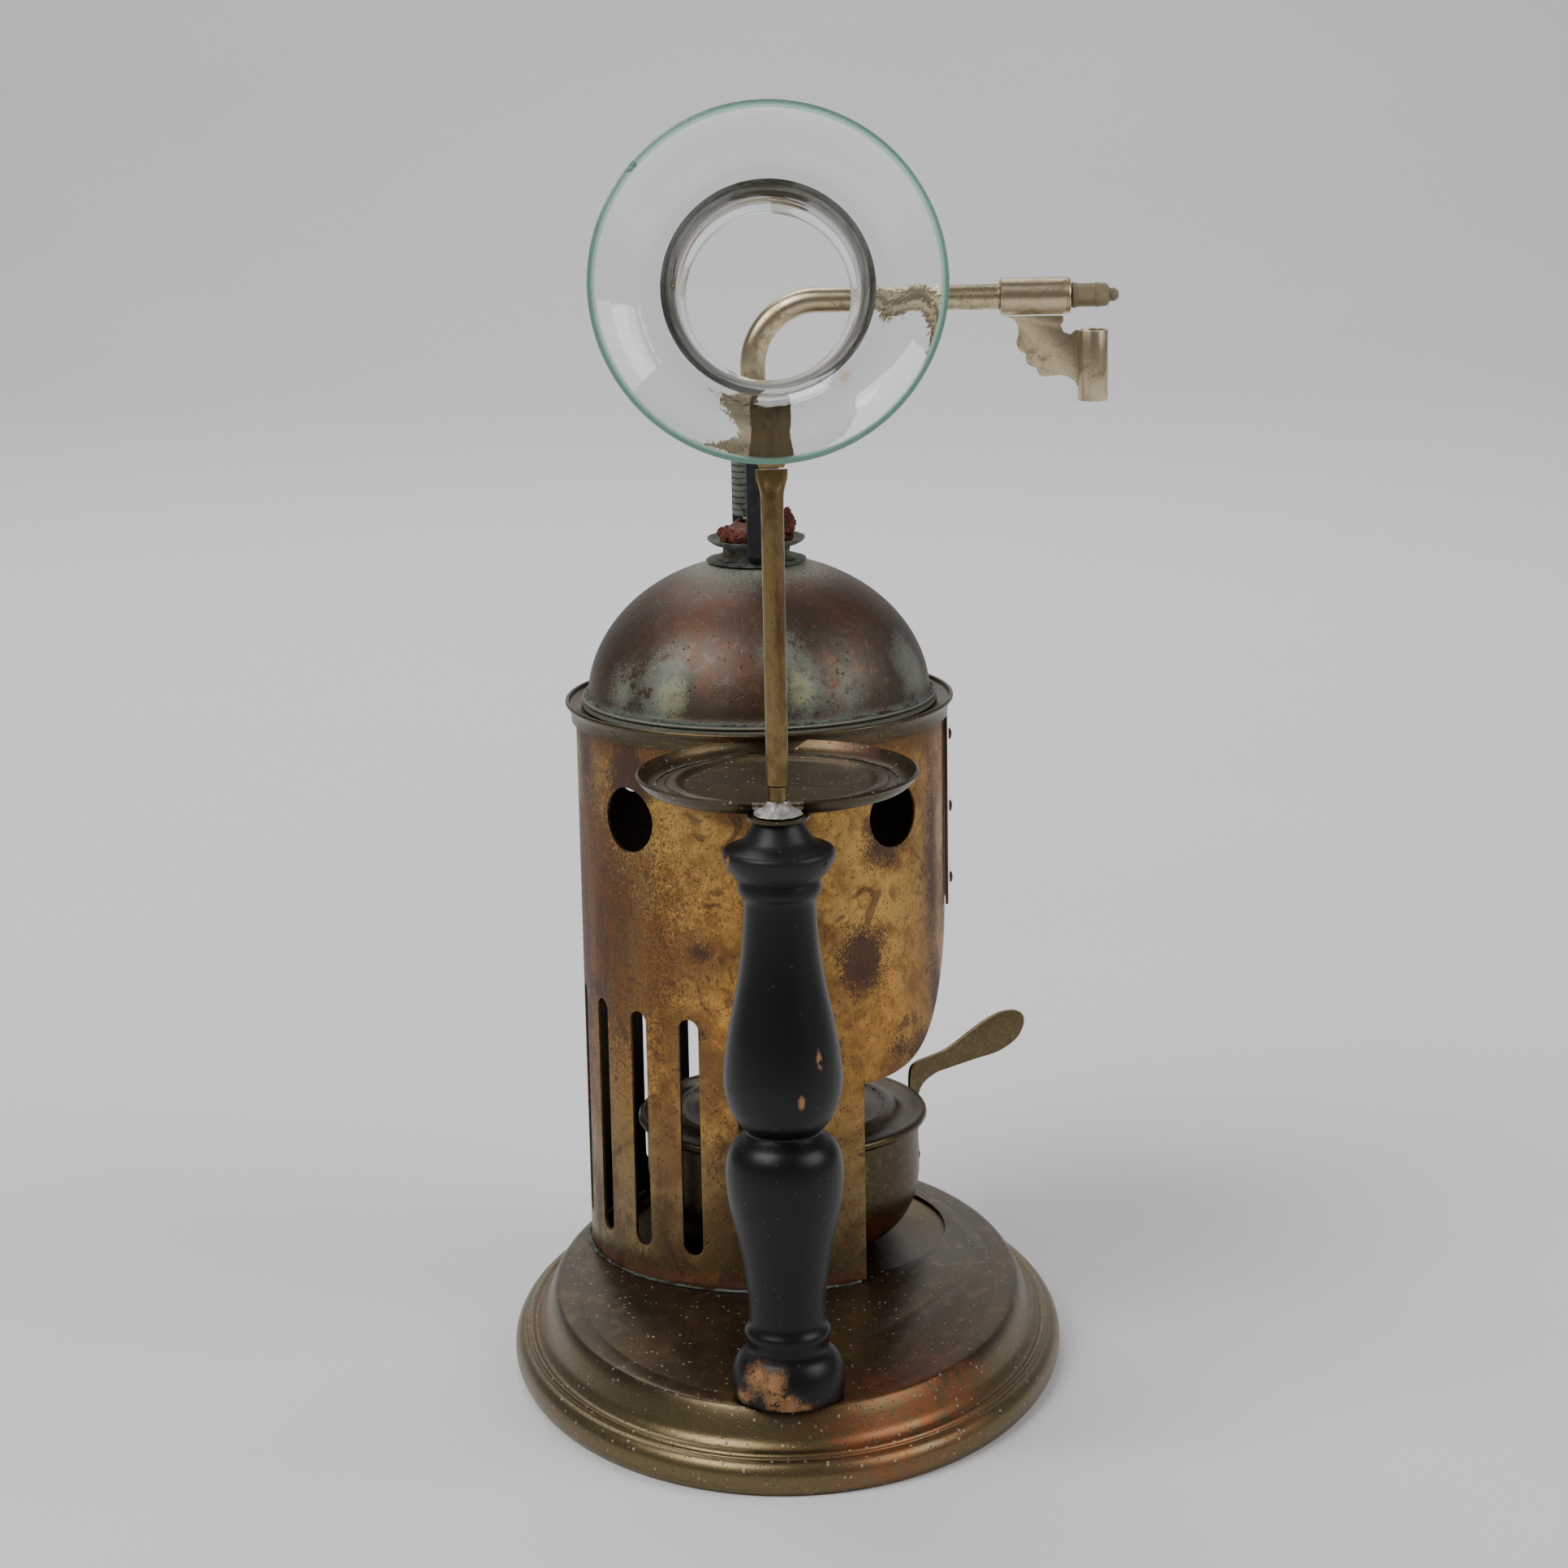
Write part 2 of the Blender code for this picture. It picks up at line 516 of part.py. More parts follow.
def make_boiler(boiler, copper, brass, black_iron, spring_steel):
    """Two spun halves, the filler neck, and the yoke that holds the valve's spring."""
    dome_base = DOME_FOOT - BOILER_SHEET
    first = NECK_RADIUS + GAP
    angles = [i / 8 * pi / 2 for i in range(9)]
    start = sqrt(1 - (first / BOILER_RADIUS) ** 2)
    outside = [(first, dome_base + DOME_HEIGHT * start)]
    for angle in angles[::-1]:
        radius = BOILER_RADIUS * cos(angle)
        if radius > first + 1.0 * MM and angle > 0:
            outside.append((radius, dome_base + DOME_HEIGHT * sin(angle)))
    outside += [(BOILER_RADIUS, DOME_FOOT + 1.6 * MM), (BOILER_RADIUS + 0.3 * MM, DOME_FOOT + BOILER_SHEET),
                (BOILER_RADIUS + BOILER_FLANGE, DOME_FOOT + 0.6 * MM)]
    inside = [(BOILER_RADIUS + BOILER_FLANGE, DOME_FOOT), (BOILER_RADIUS - BOILER_SHEET, DOME_FOOT)]
    inner_radius = BOILER_RADIUS - BOILER_SHEET
    inner_height = DOME_HEIGHT - BOILER_SHEET
    for angle in angles[1:]:
        radius = inner_radius * cos(angle)
        if radius > first + 1.0 * MM:
            inside.append((radius, dome_base + inner_height * sin(angle)))
    end = sqrt(1 - (first / inner_radius) ** 2)
    inside.append((first, dome_base + inner_height * end))
    turned("boiler_dome", outside + inside, copper, boiler, sides=30, ring=True)

    bowl_top = BOILER_SEAT
    outer = bowl_curve(BOILER_RADIUS, BOWL_DEPTH, bowl_top, 6)[::-1]
    inner = bowl_curve(BOILER_RADIUS - BOILER_SHEET, BOWL_DEPTH - BOILER_SHEET, bowl_top, 6)
    flange = [(BOILER_RADIUS + BOILER_FLANGE, BOILER_SEAT),
              (BOILER_RADIUS + BOILER_FLANGE, BOILER_SEAT + BOILER_SHEET),
              (BOILER_RADIUS - BOILER_SHEET, BOILER_SEAT + BOILER_SHEET)]
    turned("boiler_bowl", outer + flange + inner, copper, boiler, sides=30)

    bore = NECK_RADIUS - NECK_WALL
    neck_foot = DOME_TOP - 4.0 * MM
    neck = [(NECK_RADIUS, neck_foot), (NECK_RADIUS, DOME_TOP - GAP), (NECK_RADIUS + 1.8 * MM, DOME_TOP - GAP),
            (NECK_RADIUS + 1.6 * MM, DOME_TOP + 0.3 * MM), (NECK_RADIUS, DOME_TOP + 0.8 * MM),
            (NECK_RADIUS, SAUCER - 0.9 * MM), (SAUCER_RADIUS - 0.5 * MM, SAUCER - 0.7 * MM),
            (SAUCER_RADIUS, SAUCER + 0.7 * MM), (SAUCER_RADIUS - 0.5 * MM, SAUCER + 0.7 * MM),
            (SAUCER_RADIUS - 1.0 * MM, SAUCER), (bore, SAUCER), (bore, neck_foot)]
    turned("boiler_neck", neck, brass, boiler, sides=20, ring=True)

    make_yoke(boiler, black_iron)
    make_spring(boiler, spring_steel)


def make_yoke(boiler, black_iron):
    """Stirrup that hooks under the saucer and bears on the spring from above."""
    inside = SAUCER_RADIUS + GAP
    outside = inside + YOKE_THICKNESS
    hook = NECK_RADIUS + 2 * GAP
    hook_top = SAUCER - 0.9 * MM - GAP
    hook_foot = DOME_TOP + 1.1 * MM
    corner = 2.0 * MM
    half_outline = [(hook, hook_foot), (outside, hook_foot), (outside, YOKE_TOP - corner),
                    (outside - 0.6 * MM, YOKE_TOP - 0.6 * MM), (outside - corner, YOKE_TOP)]
    half_inside = [(inside - corner, YOKE_UNDER), (inside, YOKE_UNDER - corner), (inside, hook_top),
                   (hook, hook_top)]
    mirrored = [(-x, z) for x, z in half_outline[::-1]]
    mirrored_inside = [(-x, z) for x, z in half_inside[::-1]]
    outline = half_outline + mirrored + mirrored_inside + half_inside
    bm = bmesh.new()
    turn = Matrix.Rotation(pi / 2 + radians(YOKE_TURN), 4, "Z")
    plate_into(bm, outline, -YOKE_WIDTH / 2, YOKE_WIDTH / 2, turn)
    yoke = solid("valve_yoke", bm, black_iron, boiler)
    hole = bmesh.new()
    turn_into(hole, [(TUBE_RADIUS + GAP, YOKE_TOP + corner), (TUBE_RADIUS + GAP, YOKE_UNDER - corner)], 16)
    combine(yoke, solid("yoke_hole", hole, black_iron, boiler, cutter=True), "DIFFERENCE")


def make_spring(boiler, spring_steel):
    """Coil spring between the cork and the yoke."""
    half = SPRING_WIRE / 2
    low, high = SPRING_FOOT + half, SPRING_FOOT + SPRING_LENGTH - half
    steps = int(SPRING_TURNS * 8)
    rings = []
    for i in range(steps + 1):
        angle = tau * SPRING_TURNS * i / steps
        out = Vector((cos(angle), sin(angle), 0))
        centre = out * SPRING_RADIUS + Vector((0, 0, low + (high - low) * i / steps))
        rings.append([centre + out * half * cos(tau * k / 5) + Vector((0, 0, half * sin(tau * k / 5)))
                      for k in range(5)])
    skinned("valve_spring", rings, spring_steel, boiler)


def make_cork(valve, cork):
    """Bored cork that seals the neck and rides up when the valve blows."""
    bore = TUBE_RADIUS + GAP
    plug = NECK_RADIUS - NECK_WALL - GAP
    profile = [(bore, SAUCER - 6.0 * MM), (plug * 0.94, SAUCER - 6.0 * MM), (plug, SAUCER - 2.0 * MM),
               (plug, CORK_SHOULDER), (plug + 1.6 * MM, CORK_SHOULDER), (plug + 1.0 * MM, SAUCER + 1.9 * MM),
               (plug - 0.6 * MM, SAUCER + 3.6 * MM), (SPRING_RADIUS, SAUCER + CORK_TOP),
               (bore, SAUCER + CORK_TOP)]
    turned("cork_stopper", profile, cork, valve, sides=20, ring=True)


def make_steam_arm(arm, nickel, bronze):
    """Bent steam tube, its nozzle, and the sleeve that carries the siphon clip."""
    bend_steps = 7
    spine = [(Vector((0, 0, SAUCER - 9.0 * MM)), 0.0)]
    for i in range(bend_steps + 1):
        angle = pi / 2 * i / bend_steps
        point = Vector((TUBE_BEND * (1 - cos(angle)), 0, ARM_HEIGHT - TUBE_BEND + TUBE_BEND * sin(angle)))
        spine.append((point, angle))
    tube_end = NOZZLE_REACH - NOZZLE_LENGTH - GAP
    spine.append((Vector((tube_end, 0, ARM_HEIGHT)), pi / 2))

    def rings(radius, stations):
        return [[point + Matrix.Rotation(angle, 3, "Y") @ spot for spot in circle(radius, sides=12)]
                for point, angle in stations]

    tube = rings(TUBE_RADIUS, spine) + rings(TUBE_RADIUS - TUBE_WALL, spine[::-1])
    skinned("steam_tube", tube, nickel, arm, loop=True)

    along = Matrix.Translation((0, 0, ARM_HEIGHT)) @ Matrix.Rotation(pi / 2, 4, "Y")
    shoulder = NOZZLE_REACH - NOZZLE_LENGTH
    spigot = TUBE_RADIUS - TUBE_WALL - GAP
    bore = 0.5 * MM
    nozzle = [(spigot, shoulder - 5.0 * MM), (spigot, shoulder), (NOZZLE_RADIUS + 0.2 * MM, shoulder),
              (NOZZLE_RADIUS + 0.2 * MM, shoulder + 1.0 * MM), (NOZZLE_RADIUS, shoulder + 1.4 * MM),
              (NOZZLE_RADIUS, NOZZLE_REACH - 2.6 * MM), (1.5 * MM, NOZZLE_REACH - 1.4 * MM),
              (0.9 * MM, NOZZLE_REACH), (bore, NOZZLE_REACH), (bore, shoulder - 5.0 * MM)]
    turned("nozzle_tip", nozzle, bronze, arm, sides=14, ring=True, place=along)

    sleeve_inside = TUBE_RADIUS + GAP
    sleeve_outside = sleeve_inside + SLEEVE_WALL
    sleeve_start = tube_end - SLEEVE_LENGTH
    sleeve = [(sleeve_inside, sleeve_start), (sleeve_outside, sleeve_start),
              (sleeve_outside, tube_end), (sleeve_inside, tube_end)]
    turned("bracket_sleeve", sleeve, nickel, arm, sides=18, ring=True, place=along)
    make_siphon_clip(arm, nickel, sleeve_start, sleeve_outside)


def make_siphon_clip(arm, nickel, sleeve_start, sleeve_outside):
    """Scalloped plate under the sleeve, rolled at its end into a clip for the siphon tube."""
    top = ARM_HEIGHT - sleeve_outside - GAP
    axis = NOZZLE_REACH - CLIP_BACK
    clip_top = top - CLIP_DROP + GAP
    clip_foot = clip_top - CLIP_LENGTH
    wall = axis - CLIP_RADIUS
    left = sleeve_start + 0.6 * MM
    steps = [(0.0, 0.0), (3.2, -1.3), (3.8, -3.6), (3.9, -6.6), (5.4, -8.0), (6.4, -9.6),
             (7.9, -11.6), (10.6, -12.8)]
    edge = [(left + x * MM, top + z * MM) for x, z in steps]
    notch = [(wall + 0.8 * MM, clip_foot), (wall + 0.8 * MM, clip_top), (wall - 0.6 * MM, clip_top),
             (wall - 2.2 * MM, clip_top - 0.5 * MM), (wall - 3.2 * MM, clip_top + 0.6 * MM),
             (wall - 3.0 * MM, top)]
    outline = edge + [(wall - 1.4 * MM, clip_foot + 2.6 * MM)] + notch
    bm = bmesh.new()
    plate_into(bm, outline, -CLIP_SHEET / 2, CLIP_SHEET / 2)
    clip = solid("siphon_clip", bm, nickel, arm)

    roll = bmesh.new()
    rings = []
    for i in range(15):
        angle = radians(180 - 10 + 320 * i / 14)
        out = Vector((cos(angle), sin(angle), 0))
        centre = Vector((axis, 0, 0))
        inner, outer = CLIP_RADIUS - CLIP_SHEET, CLIP_RADIUS
        rings.append([centre + out * radius + Vector((0, 0, height)) for radius, height in
                      ((inner, clip_foot), (outer, clip_foot), (outer, clip_top), (inner, clip_top))])
    skin_into(roll, rings)
    combine(clip, solid("clip_roll", roll, nickel, arm, cutter=True), "UNION")


# Glass funnel and its holder


def funnel_profile():
    """Outline of the funnel's wall as (radius, distance back from the mouth)."""
    throat = FUNNEL_BORE + FUNNEL_FLARE_START
    lip = FUNNEL_RADIUS - 1.0 * MM
    flare = [(throat + (lip - throat) * share, depth * MM)
             for share, depth in ((0.0, 12.0), (0.2, 8.4), (0.46, 5.2), (0.72, 2.4), (1.0, 0.0))]
    inside = [(FUNNEL_BORE - FUNNEL_TAIL_TAPER, FUNNEL_LENGTH), (FUNNEL_BORE - 0.5 * MM, 27.0 * MM),
              (FUNNEL_BORE, 20.0 * MM), (throat - 1.3 * MM, 15.0 * MM)] + flare
    return sheet(inside[::-1], -FUNNEL_WALL)


def make_glass(rod_frame, funnel_frame, glass, brass):
    """Flared glass funnel in a sprung band, on a strap and the tall rod."""
    turned("glass_funnel", funnel_profile(), glass, funnel_frame, sides=36, ring=True)

    band_inside = FUNNEL_NECK + GAP
    band_outside = band_inside + BAND_SHEET
    middle = (FUNNEL_REACH + band_outside * sin(FUNNEL_TILT)) / cos(FUNNEL_TILT)
    tilt = Matrix.Translation((0, -FUNNEL_REACH, FUNNEL_HEIGHT)) @ Matrix.Rotation(-pi / 2 - FUNNEL_TILT, 4, "X")
    front, back = middle - BAND_WIDTH / 2, middle + BAND_WIDTH / 2
    band = [(band_inside, front), (band_outside, front), (band_outside, back), (band_inside, back)]
    turned("glass_band", band, brass, rod_frame, sides=36, ring=True, place=tilt)

    under_band = FUNNEL_HEIGHT - FUNNEL_REACH * tan(FUNNEL_TILT) - band_outside / cos(FUNNEL_TILT)
    strap_top = under_band - STRAP_SHEET / 2 * tan(FUNNEL_TILT) - GAP
    strap_foot = strap_top - STRAP_LENGTH
    half = STRAP_WIDTH / 2
    bm = bmesh.new()
    outline = [(-half * 0.6, strap_foot), (half * 0.6, strap_foot), (half, strap_foot + 3.0 * MM),
               (half, strap_top), (-half, strap_top), (-half, strap_foot + 3.0 * MM)]
    plate_into(bm, outline, -STRAP_SHEET / 2, STRAP_SHEET / 2)
    solid("band_strap", bm, brass, rod_frame)

    rod_top = strap_foot - GAP
    sides = 14
    bore = ROD_RADIUS - ROD_WALL
    flat = 0.42
    rings = [circle(bore, rod_top - 14.0 * MM, sides), circle(bore, ROD_FOOT, sides),
             circle(ROD_RADIUS, ROD_FOOT, sides), circle(ROD_RADIUS, rod_top - 7.0 * MM, sides),
             circle(ROD_RADIUS * 1.3, rod_top - 3.0 * MM, sides, flat),
             circle(ROD_RADIUS * 1.4, rod_top, sides, flat * 0.8)]
    skinned("support_rod", rings, brass, rod_frame)


# Spirit lamp


def make_lamp(lamp, lid_frame, brass, bronze, cotton):
    """Spirit reservoir with its lid, wick and draw-out handle."""
    floor_radius = LAMP_RADIUS - LAMP_ROUNDING
    round_height = LAMP_ROUNDING * 1.15
    outside = []
    for i in range(6):
        angle = pi / 2 * i / 5
        outside.append((floor_radius + LAMP_ROUNDING * sin(angle), LAMP_FOOT + round_height * (1 - cos(angle))))
    outside.append((LAMP_RADIUS, LAMP_TOP))
    turned("lamp_reservoir", sheet(outside, -LAMP_SHEET), brass, lamp, sides=32)

    skirt_outside = LAMP_RADIUS - LAMP_SHEET - 0.4 * MM
    skirt_inside = skirt_outside - LAMP_SHEET
    under = LAMP_TOP + GAP
    hole = WICK_TUBE_RADIUS + GAP
    deck = under + 2.1 * MM
    bead = LID_RADIUS - 1.0 * MM
    lid = [(skirt_inside, under - LID_SKIRT), (skirt_outside, under - LID_SKIRT), (skirt_outside, under),
           (bead, under), (LID_RADIUS, under + 0.7 * MM), (LID_RADIUS, under + 1.7 * MM),
           (bead, under + 2.5 * MM), (bead - 1.6 * MM, deck), (bead * 0.84, deck), (bead * 0.78, deck + 1.1 * MM),
           (bead * 0.5, deck + 1.5 * MM), (bead * 0.42, deck + 2.5 * MM), (hole, deck + 2.6 * MM),
           (hole, deck + 1.9 * MM), (bead * 0.41, deck + 1.8 * MM), (bead * 0.49, deck + 0.8 * MM),
           (bead * 0.77, deck + 0.4 * MM), (bead * 0.83, deck - 0.7 * MM), (skirt_inside, deck - 0.7 * MM)]
    turned("lamp_lid", lid, brass, lid_frame, sides=32, ring=True)

    lid_top = deck + 2.6 * MM
    tube_inside = WICK_TUBE_RADIUS - WICK_TUBE_WALL
    tube_top = lid_top + WICK_TUBE_RISE
    tube_foot = under - LID_SKIRT
    flange = WICK_TUBE_RADIUS + 2.2 * MM
    wick_tube = [(tube_inside, tube_foot), (WICK_TUBE_RADIUS, tube_foot), (WICK_TUBE_RADIUS, lid_top + GAP),
                 (flange, lid_top + GAP), (flange, lid_top + 1.0 * MM), (WICK_TUBE_RADIUS, lid_top + 1.0 * MM),
                 (WICK_TUBE_RADIUS, tube_top), (tube_inside, tube_top)]
    turned("wick_tube", wick_tube, bronze, lid_frame, sides=18, ring=True)

    wick_radius = tube_inside - GAP
    wick_foot = LAMP_FOOT + LAMP_SHEET + 2.0 * MM
    wick = [(wick_radius, wick_foot), (wick_radius, tube_top + WICK_RISE - 1.5 * MM),
            (wick_radius * 0.6, tube_top + WICK_RISE)]
    turned("wick", wick, cotton, lid_frame, sides=14)
    make_handle(lamp, brass)


def make_handle(lamp, brass):
    """Angled strip riveted to the reservoir's side, rising to a paddle end."""
    side = LAMP_RADIUS + GAP
    heel = side + HANDLE_SHEET
    reach = LAMP_RADIUS + HANDLE_REACH
    blade_path = [(heel, LAMP_TOP - 12.5 * MM, 6.0), (heel + 1.0 * MM, LAMP_TOP - 11.0 * MM, 6.0),
                  (LID_RADIUS + 1.2 * MM, LAMP_TOP - 4.0 * MM, 5.4), (LID_RADIUS + 3.0 * MM, LAMP_TOP + 3.2 * MM, 5.2),
                  (LID_RADIUS + 7.0 * MM, LAMP_TOP + 5.8 * MM, 4.4), (reach - 20.0 * MM, LAMP_TOP + 7.0 * MM, 4.8),
                  (reach - 13.0 * MM, LAMP_TOP + 9.4 * MM, 7.6), (reach - 7.0 * MM, LAMP_TOP + 10.9 * MM, 9.2),
                  (reach - 2.4 * MM, LAMP_TOP + 12.2 * MM, 7.4), (reach, LAMP_TOP + 13.0 * MM, 3.4)]
    turn = around(HANDLE_ANGLE) @ Matrix.Rotation(-pi / 2, 4, "Z")
    half = HANDLE_SHEET / 2
    rings = []
    for out, height, width in blade_path:
        low, high = height - width * MM / 2, height + width * MM / 2
        rings.append([turn @ Vector((out, y, z)) for y, z in ((-half, low), (half, low), (half, high), (-half, high))])
    handle = skinned("lamp_handle", rings, brass, lamp)

    foot = bmesh.new()
    spread = 7.0 * MM / side
    foot_middle = LAMP_TOP - 12.5 * MM
    rings = []
    for i in range(6):
        angle = radians(HANDLE_ANGLE) - spread + 2 * spread * i / 5
        corners = ((side, -1), (heel + 0.2 * MM, -1), (heel + 0.2 * MM, 1), (side, 1))
        rings.append([Vector((radius * sin(angle), -radius * cos(angle), foot_middle + up * 3.5 * MM))
                      for radius, up in corners])
    skin_into(foot, rings)
    combine(handle, solid("handle_foot", foot, brass, lamp, cutter=True), "UNION")

    for i, step in enumerate((-9.0, 9.0)):
        seat = (HANDLE_ANGLE + step, heel + 0.2 * MM + GAP, foot_middle)
        make_rivet(f"handle_rivet_{i + 1}", HANDLE_RIVET_RADIUS, seat, brass, lamp)


def frame_shift():
    """Moves the middle of the whole model's floor plan to the origin."""
    right = max(BASE_HALF_WIDTH, SHELL_SIDE_SHIFT + NOZZLE_REACH)
    mouth = min(FUNNEL_Y + back * cos(FUNNEL_TILT) - radius * sin(FUNNEL_TILT)
                for radius, back in funnel_profile())
    front = min(-BASE_HALF_LENGTH, mouth)
    return Vector(((BASE_HALF_WIDTH - right) / 2, (-BASE_HALF_LENGTH - front) / 2, 0))


def main():
    for old in list(bpy.data.objects):
        bpy.data.objects.remove(old, do_unlink=True)
    brass = finish("aged_brass", (0.33, 0.22, 0.10), 0.42, 1.0)
    stained_brass = finish("stained_brass", (0.13, 0.10, 0.07), 0.45, 1.0)
    copper = finish("dark_copper", (0.16, 0.10, 0.08), 0.42, 1.0)
    bronze = finish("pale_bronze", (0.42, 0.38, 0.28), 0.35, 1.0)
    nickel = finish("dull_nickel", (0.46, 0.42, 0.36), 0.32, 1.0)
    black_iron = finish("black_iron", (0.02, 0.02, 0.02), 0.5, 0.6)
    spring_steel = finish("corroded_spring", (0.50, 0.52, 0.46), 0.7, 0.3)
    steel = finish("steel", (0.35, 0.34, 0.33), 0.4, 1.0)
    black_wood = finish("black_wood", (0.012, 0.012, 0.013), 0.38, 0.0)
    cork = finish("crusted_cork", (0.30, 0.16, 0.10), 0.9, 0.0)
    glass = finish("clear_glass", (0.92, 0.97, 0.94), 0.03, 0.0, transmission=1.0)
    cotton = finish("cotton_wick", (0.62, 0.56, 0.46), 0.95, 0.0)

    stand = frame("stand", frame_shift())
    make_base(stand, stained_brass)
    make_column(stand, black_wood, brass, steel)
    make_tray(stand, stained_brass)
    make_chimney(stand, brass)

    boiler = frame("boiler_axis", (SHELL_SIDE_SHIFT, SHELL_Y, 0), stand)
    make_boiler(boiler, copper, bronze, black_iron, spring_steel)
    valve = frame("valve_axis", (0, 0, 0), boiler)
    make_cork(valve, cork)
    arm = frame("steam_arm_axis", (0, 0, 0), valve)
    make_steam_arm(arm, nickel, bronze)

    rod_frame = frame("rod_axis", (0, COLUMN_Y, 0), stand)
    funnel_frame = frame("funnel_axis", (0, -FUNNEL_REACH, FUNNEL_HEIGHT), rod_frame)
    funnel_frame.rotation_euler = (-pi / 2 - FUNNEL_TILT, 0, 0)
    make_glass(rod_frame, funnel_frame, glass, brass)

    lamp_place = (SHELL_SIDE_SHIFT + LAMP_SIDE_SHIFT, SHELL_Y + LAMP_REAR_SHIFT, 0)
    lamp = frame("lamp_axis", lamp_place, stand)
    lid_frame = frame("lid_axis", (0, 0, 0), lamp)
    make_lamp(lamp, lid_frame, stained_brass, bronze, cotton)


main()
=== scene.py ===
"""Table steam inhaler: detailed pieces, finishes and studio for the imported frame.

The add-on's operators each make one piece or a group of like pieces. Lengths are in metres
and every piece is made in place, in the frame's own axes.
"""
from functools import reduce
from math import atan2, cos, exp, pi, radians, sin, sqrt, tan, tau

import bpy
from bpy.props import FloatProperty, FloatVectorProperty, IntProperty, PointerProperty
from mathutils import Matrix, Vector


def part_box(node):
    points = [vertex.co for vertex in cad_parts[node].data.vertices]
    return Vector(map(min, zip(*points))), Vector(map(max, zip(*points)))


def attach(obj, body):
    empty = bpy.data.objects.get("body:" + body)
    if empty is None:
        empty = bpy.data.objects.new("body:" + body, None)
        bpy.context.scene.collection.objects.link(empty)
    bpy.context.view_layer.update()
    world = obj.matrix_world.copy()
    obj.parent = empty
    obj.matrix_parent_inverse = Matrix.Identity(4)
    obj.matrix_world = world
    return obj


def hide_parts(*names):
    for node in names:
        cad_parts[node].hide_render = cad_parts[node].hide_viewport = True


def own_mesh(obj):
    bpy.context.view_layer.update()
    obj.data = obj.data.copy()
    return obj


bl_info = {"name": "Table steam inhaler", "version": (1, 0, 0), "blender": (4, 5, 0),
           "location": "View3D > Sidebar > Inhaler",
           "description": "Builds a brass table steam inhaler with a spirit lamp, boiler and glass funnel",
           "category": "Add Mesh",}

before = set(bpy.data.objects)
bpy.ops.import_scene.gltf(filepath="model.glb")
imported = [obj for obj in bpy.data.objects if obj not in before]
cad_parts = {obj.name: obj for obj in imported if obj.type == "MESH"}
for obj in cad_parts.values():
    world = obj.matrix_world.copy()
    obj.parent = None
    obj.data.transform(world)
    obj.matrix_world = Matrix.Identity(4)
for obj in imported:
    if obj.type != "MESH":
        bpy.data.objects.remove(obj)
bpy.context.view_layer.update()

MM = 0.001
EDGE = 0.15 * MM  # how far sheet edges are eased
GAP = 0.3 * MM  # between pieces that touch


def centre(node):
    """Middle of a node's box."""
    low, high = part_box(node)
    return (low + high) / 2


def foot(node):
    """Height of a node's lowest point."""
    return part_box(node)[0].z


def top(node):
    """Height of a node's highest point."""
    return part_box(node)[1].z


BASE = centre("base_plate")
BASE_HALF = (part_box("base_plate")[1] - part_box("base_plate")[0]) / 2
DECK = top("base_plate")
CHIMNEY = centre("shell")
CHIMNEY_RADIUS = (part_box("shell")[1].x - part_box("shell")[0].x) / 2
CHIMNEY_FOOT = foot("shell")
CHIMNEY_TOP = top("shell")
RIM_TOP = top("shell_rim")
COLUMN = centre("column")
COLUMN_TOP = top("column")
LAMP = centre("lamp_reservoir")
LAMP_RADIUS = (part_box("lamp_reservoir")[1].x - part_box("lamp_reservoir")[0].x) / 2
LID_RADIUS = (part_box("lamp_lid")[1].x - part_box("lamp_lid")[0].x) / 2
LAMP_FOOT = foot("lamp_reservoir")
LAMP_TOP = top("lamp_reservoir")
TRAY_LIP = top("drip_tray")
DOME_FOOT = foot("boiler_dome")
SAUCER = foot("valve_spring") - 4.7 * MM  # height of the filler neck's saucer
ARM = centre("nozzle_tip")
NOZZLE_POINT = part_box("nozzle_tip")[1].x
TUBE_RADIUS = 2.7 * MM
BOILER_RADIUS = 37.3 * MM
DOME_HEIGHT = 31.0 * MM
FUNNEL_TILT = radians(10)
FUNNEL_MOUTH = Vector((COLUMN.x, COLUMN.y - 20.6 * MM, ARM.z + 15.4 * MM))
TRAY = Vector((COLUMN.x, COLUMN.y + 28.0 * MM, TRAY_LIP))
TRAY_FLOOR = TRAY_LIP - 2.7 * MM
BASE_WIDE = 59.3 * MM  # half the oval's width
BASE_CENTRE = Vector((COLUMN.x, BASE.y, 0))


# Sizes and colours that a user would change


def colour(name, description, default):
    return FloatVectorProperty(name=name, description=description, default=default, size=3, min=0, max=1,
                               subtype="COLOR")


def length(name, description, default):
    return FloatProperty(name=name, description=description, default=default * MM, unit="LENGTH")


def power(name, description, default):
    return FloatProperty(name=name, description=description, default=default, unit="POWER")


class ChimneySizes(bpy.types.PropertyGroup):
    slot_count: IntProperty(name="Slots", description="Air slots round the chimney's left side",
                            default=10, min=4, max=12)
    slot_pitch: FloatProperty(name="Slot pitch", description="Angle from one slot to the next",
                              default=radians(18.8), subtype="ANGLE")
    slot_width: length("Slot width", "Width of each round-ended air slot", 4.7)
    slot_length: length("Slot length", "Height of each air slot", 53.0)
    vent_radius: length("Vent radius", "Radius of the four round vents", 7.0)
    wall: length("Wall", "Thickness of the sheet brass", 0.8)


class FinishColours(bpy.types.PropertyGroup):
    brass: colour("Brass", "Bright brass where the chimney is least stained", (0.36, 0.20, 0.052))
    heat_stain: colour("Heat stain", "Purple-brown stain left by the flame", (0.070, 0.036, 0.026))
    dark_brass: colour("Tarnish", "Olive-brown tarnish on base, tray and lamp", (0.070, 0.053, 0.030))
    copper: colour("Copper", "Dark copper of the boiler", (0.082, 0.064, 0.050))
    verdigris: colour("Verdigris", "Pale green-white scale", (0.40, 0.46, 0.37))
    nickel: colour("Nickel", "Worn nickel of the steam arm", (0.60, 0.49, 0.32))


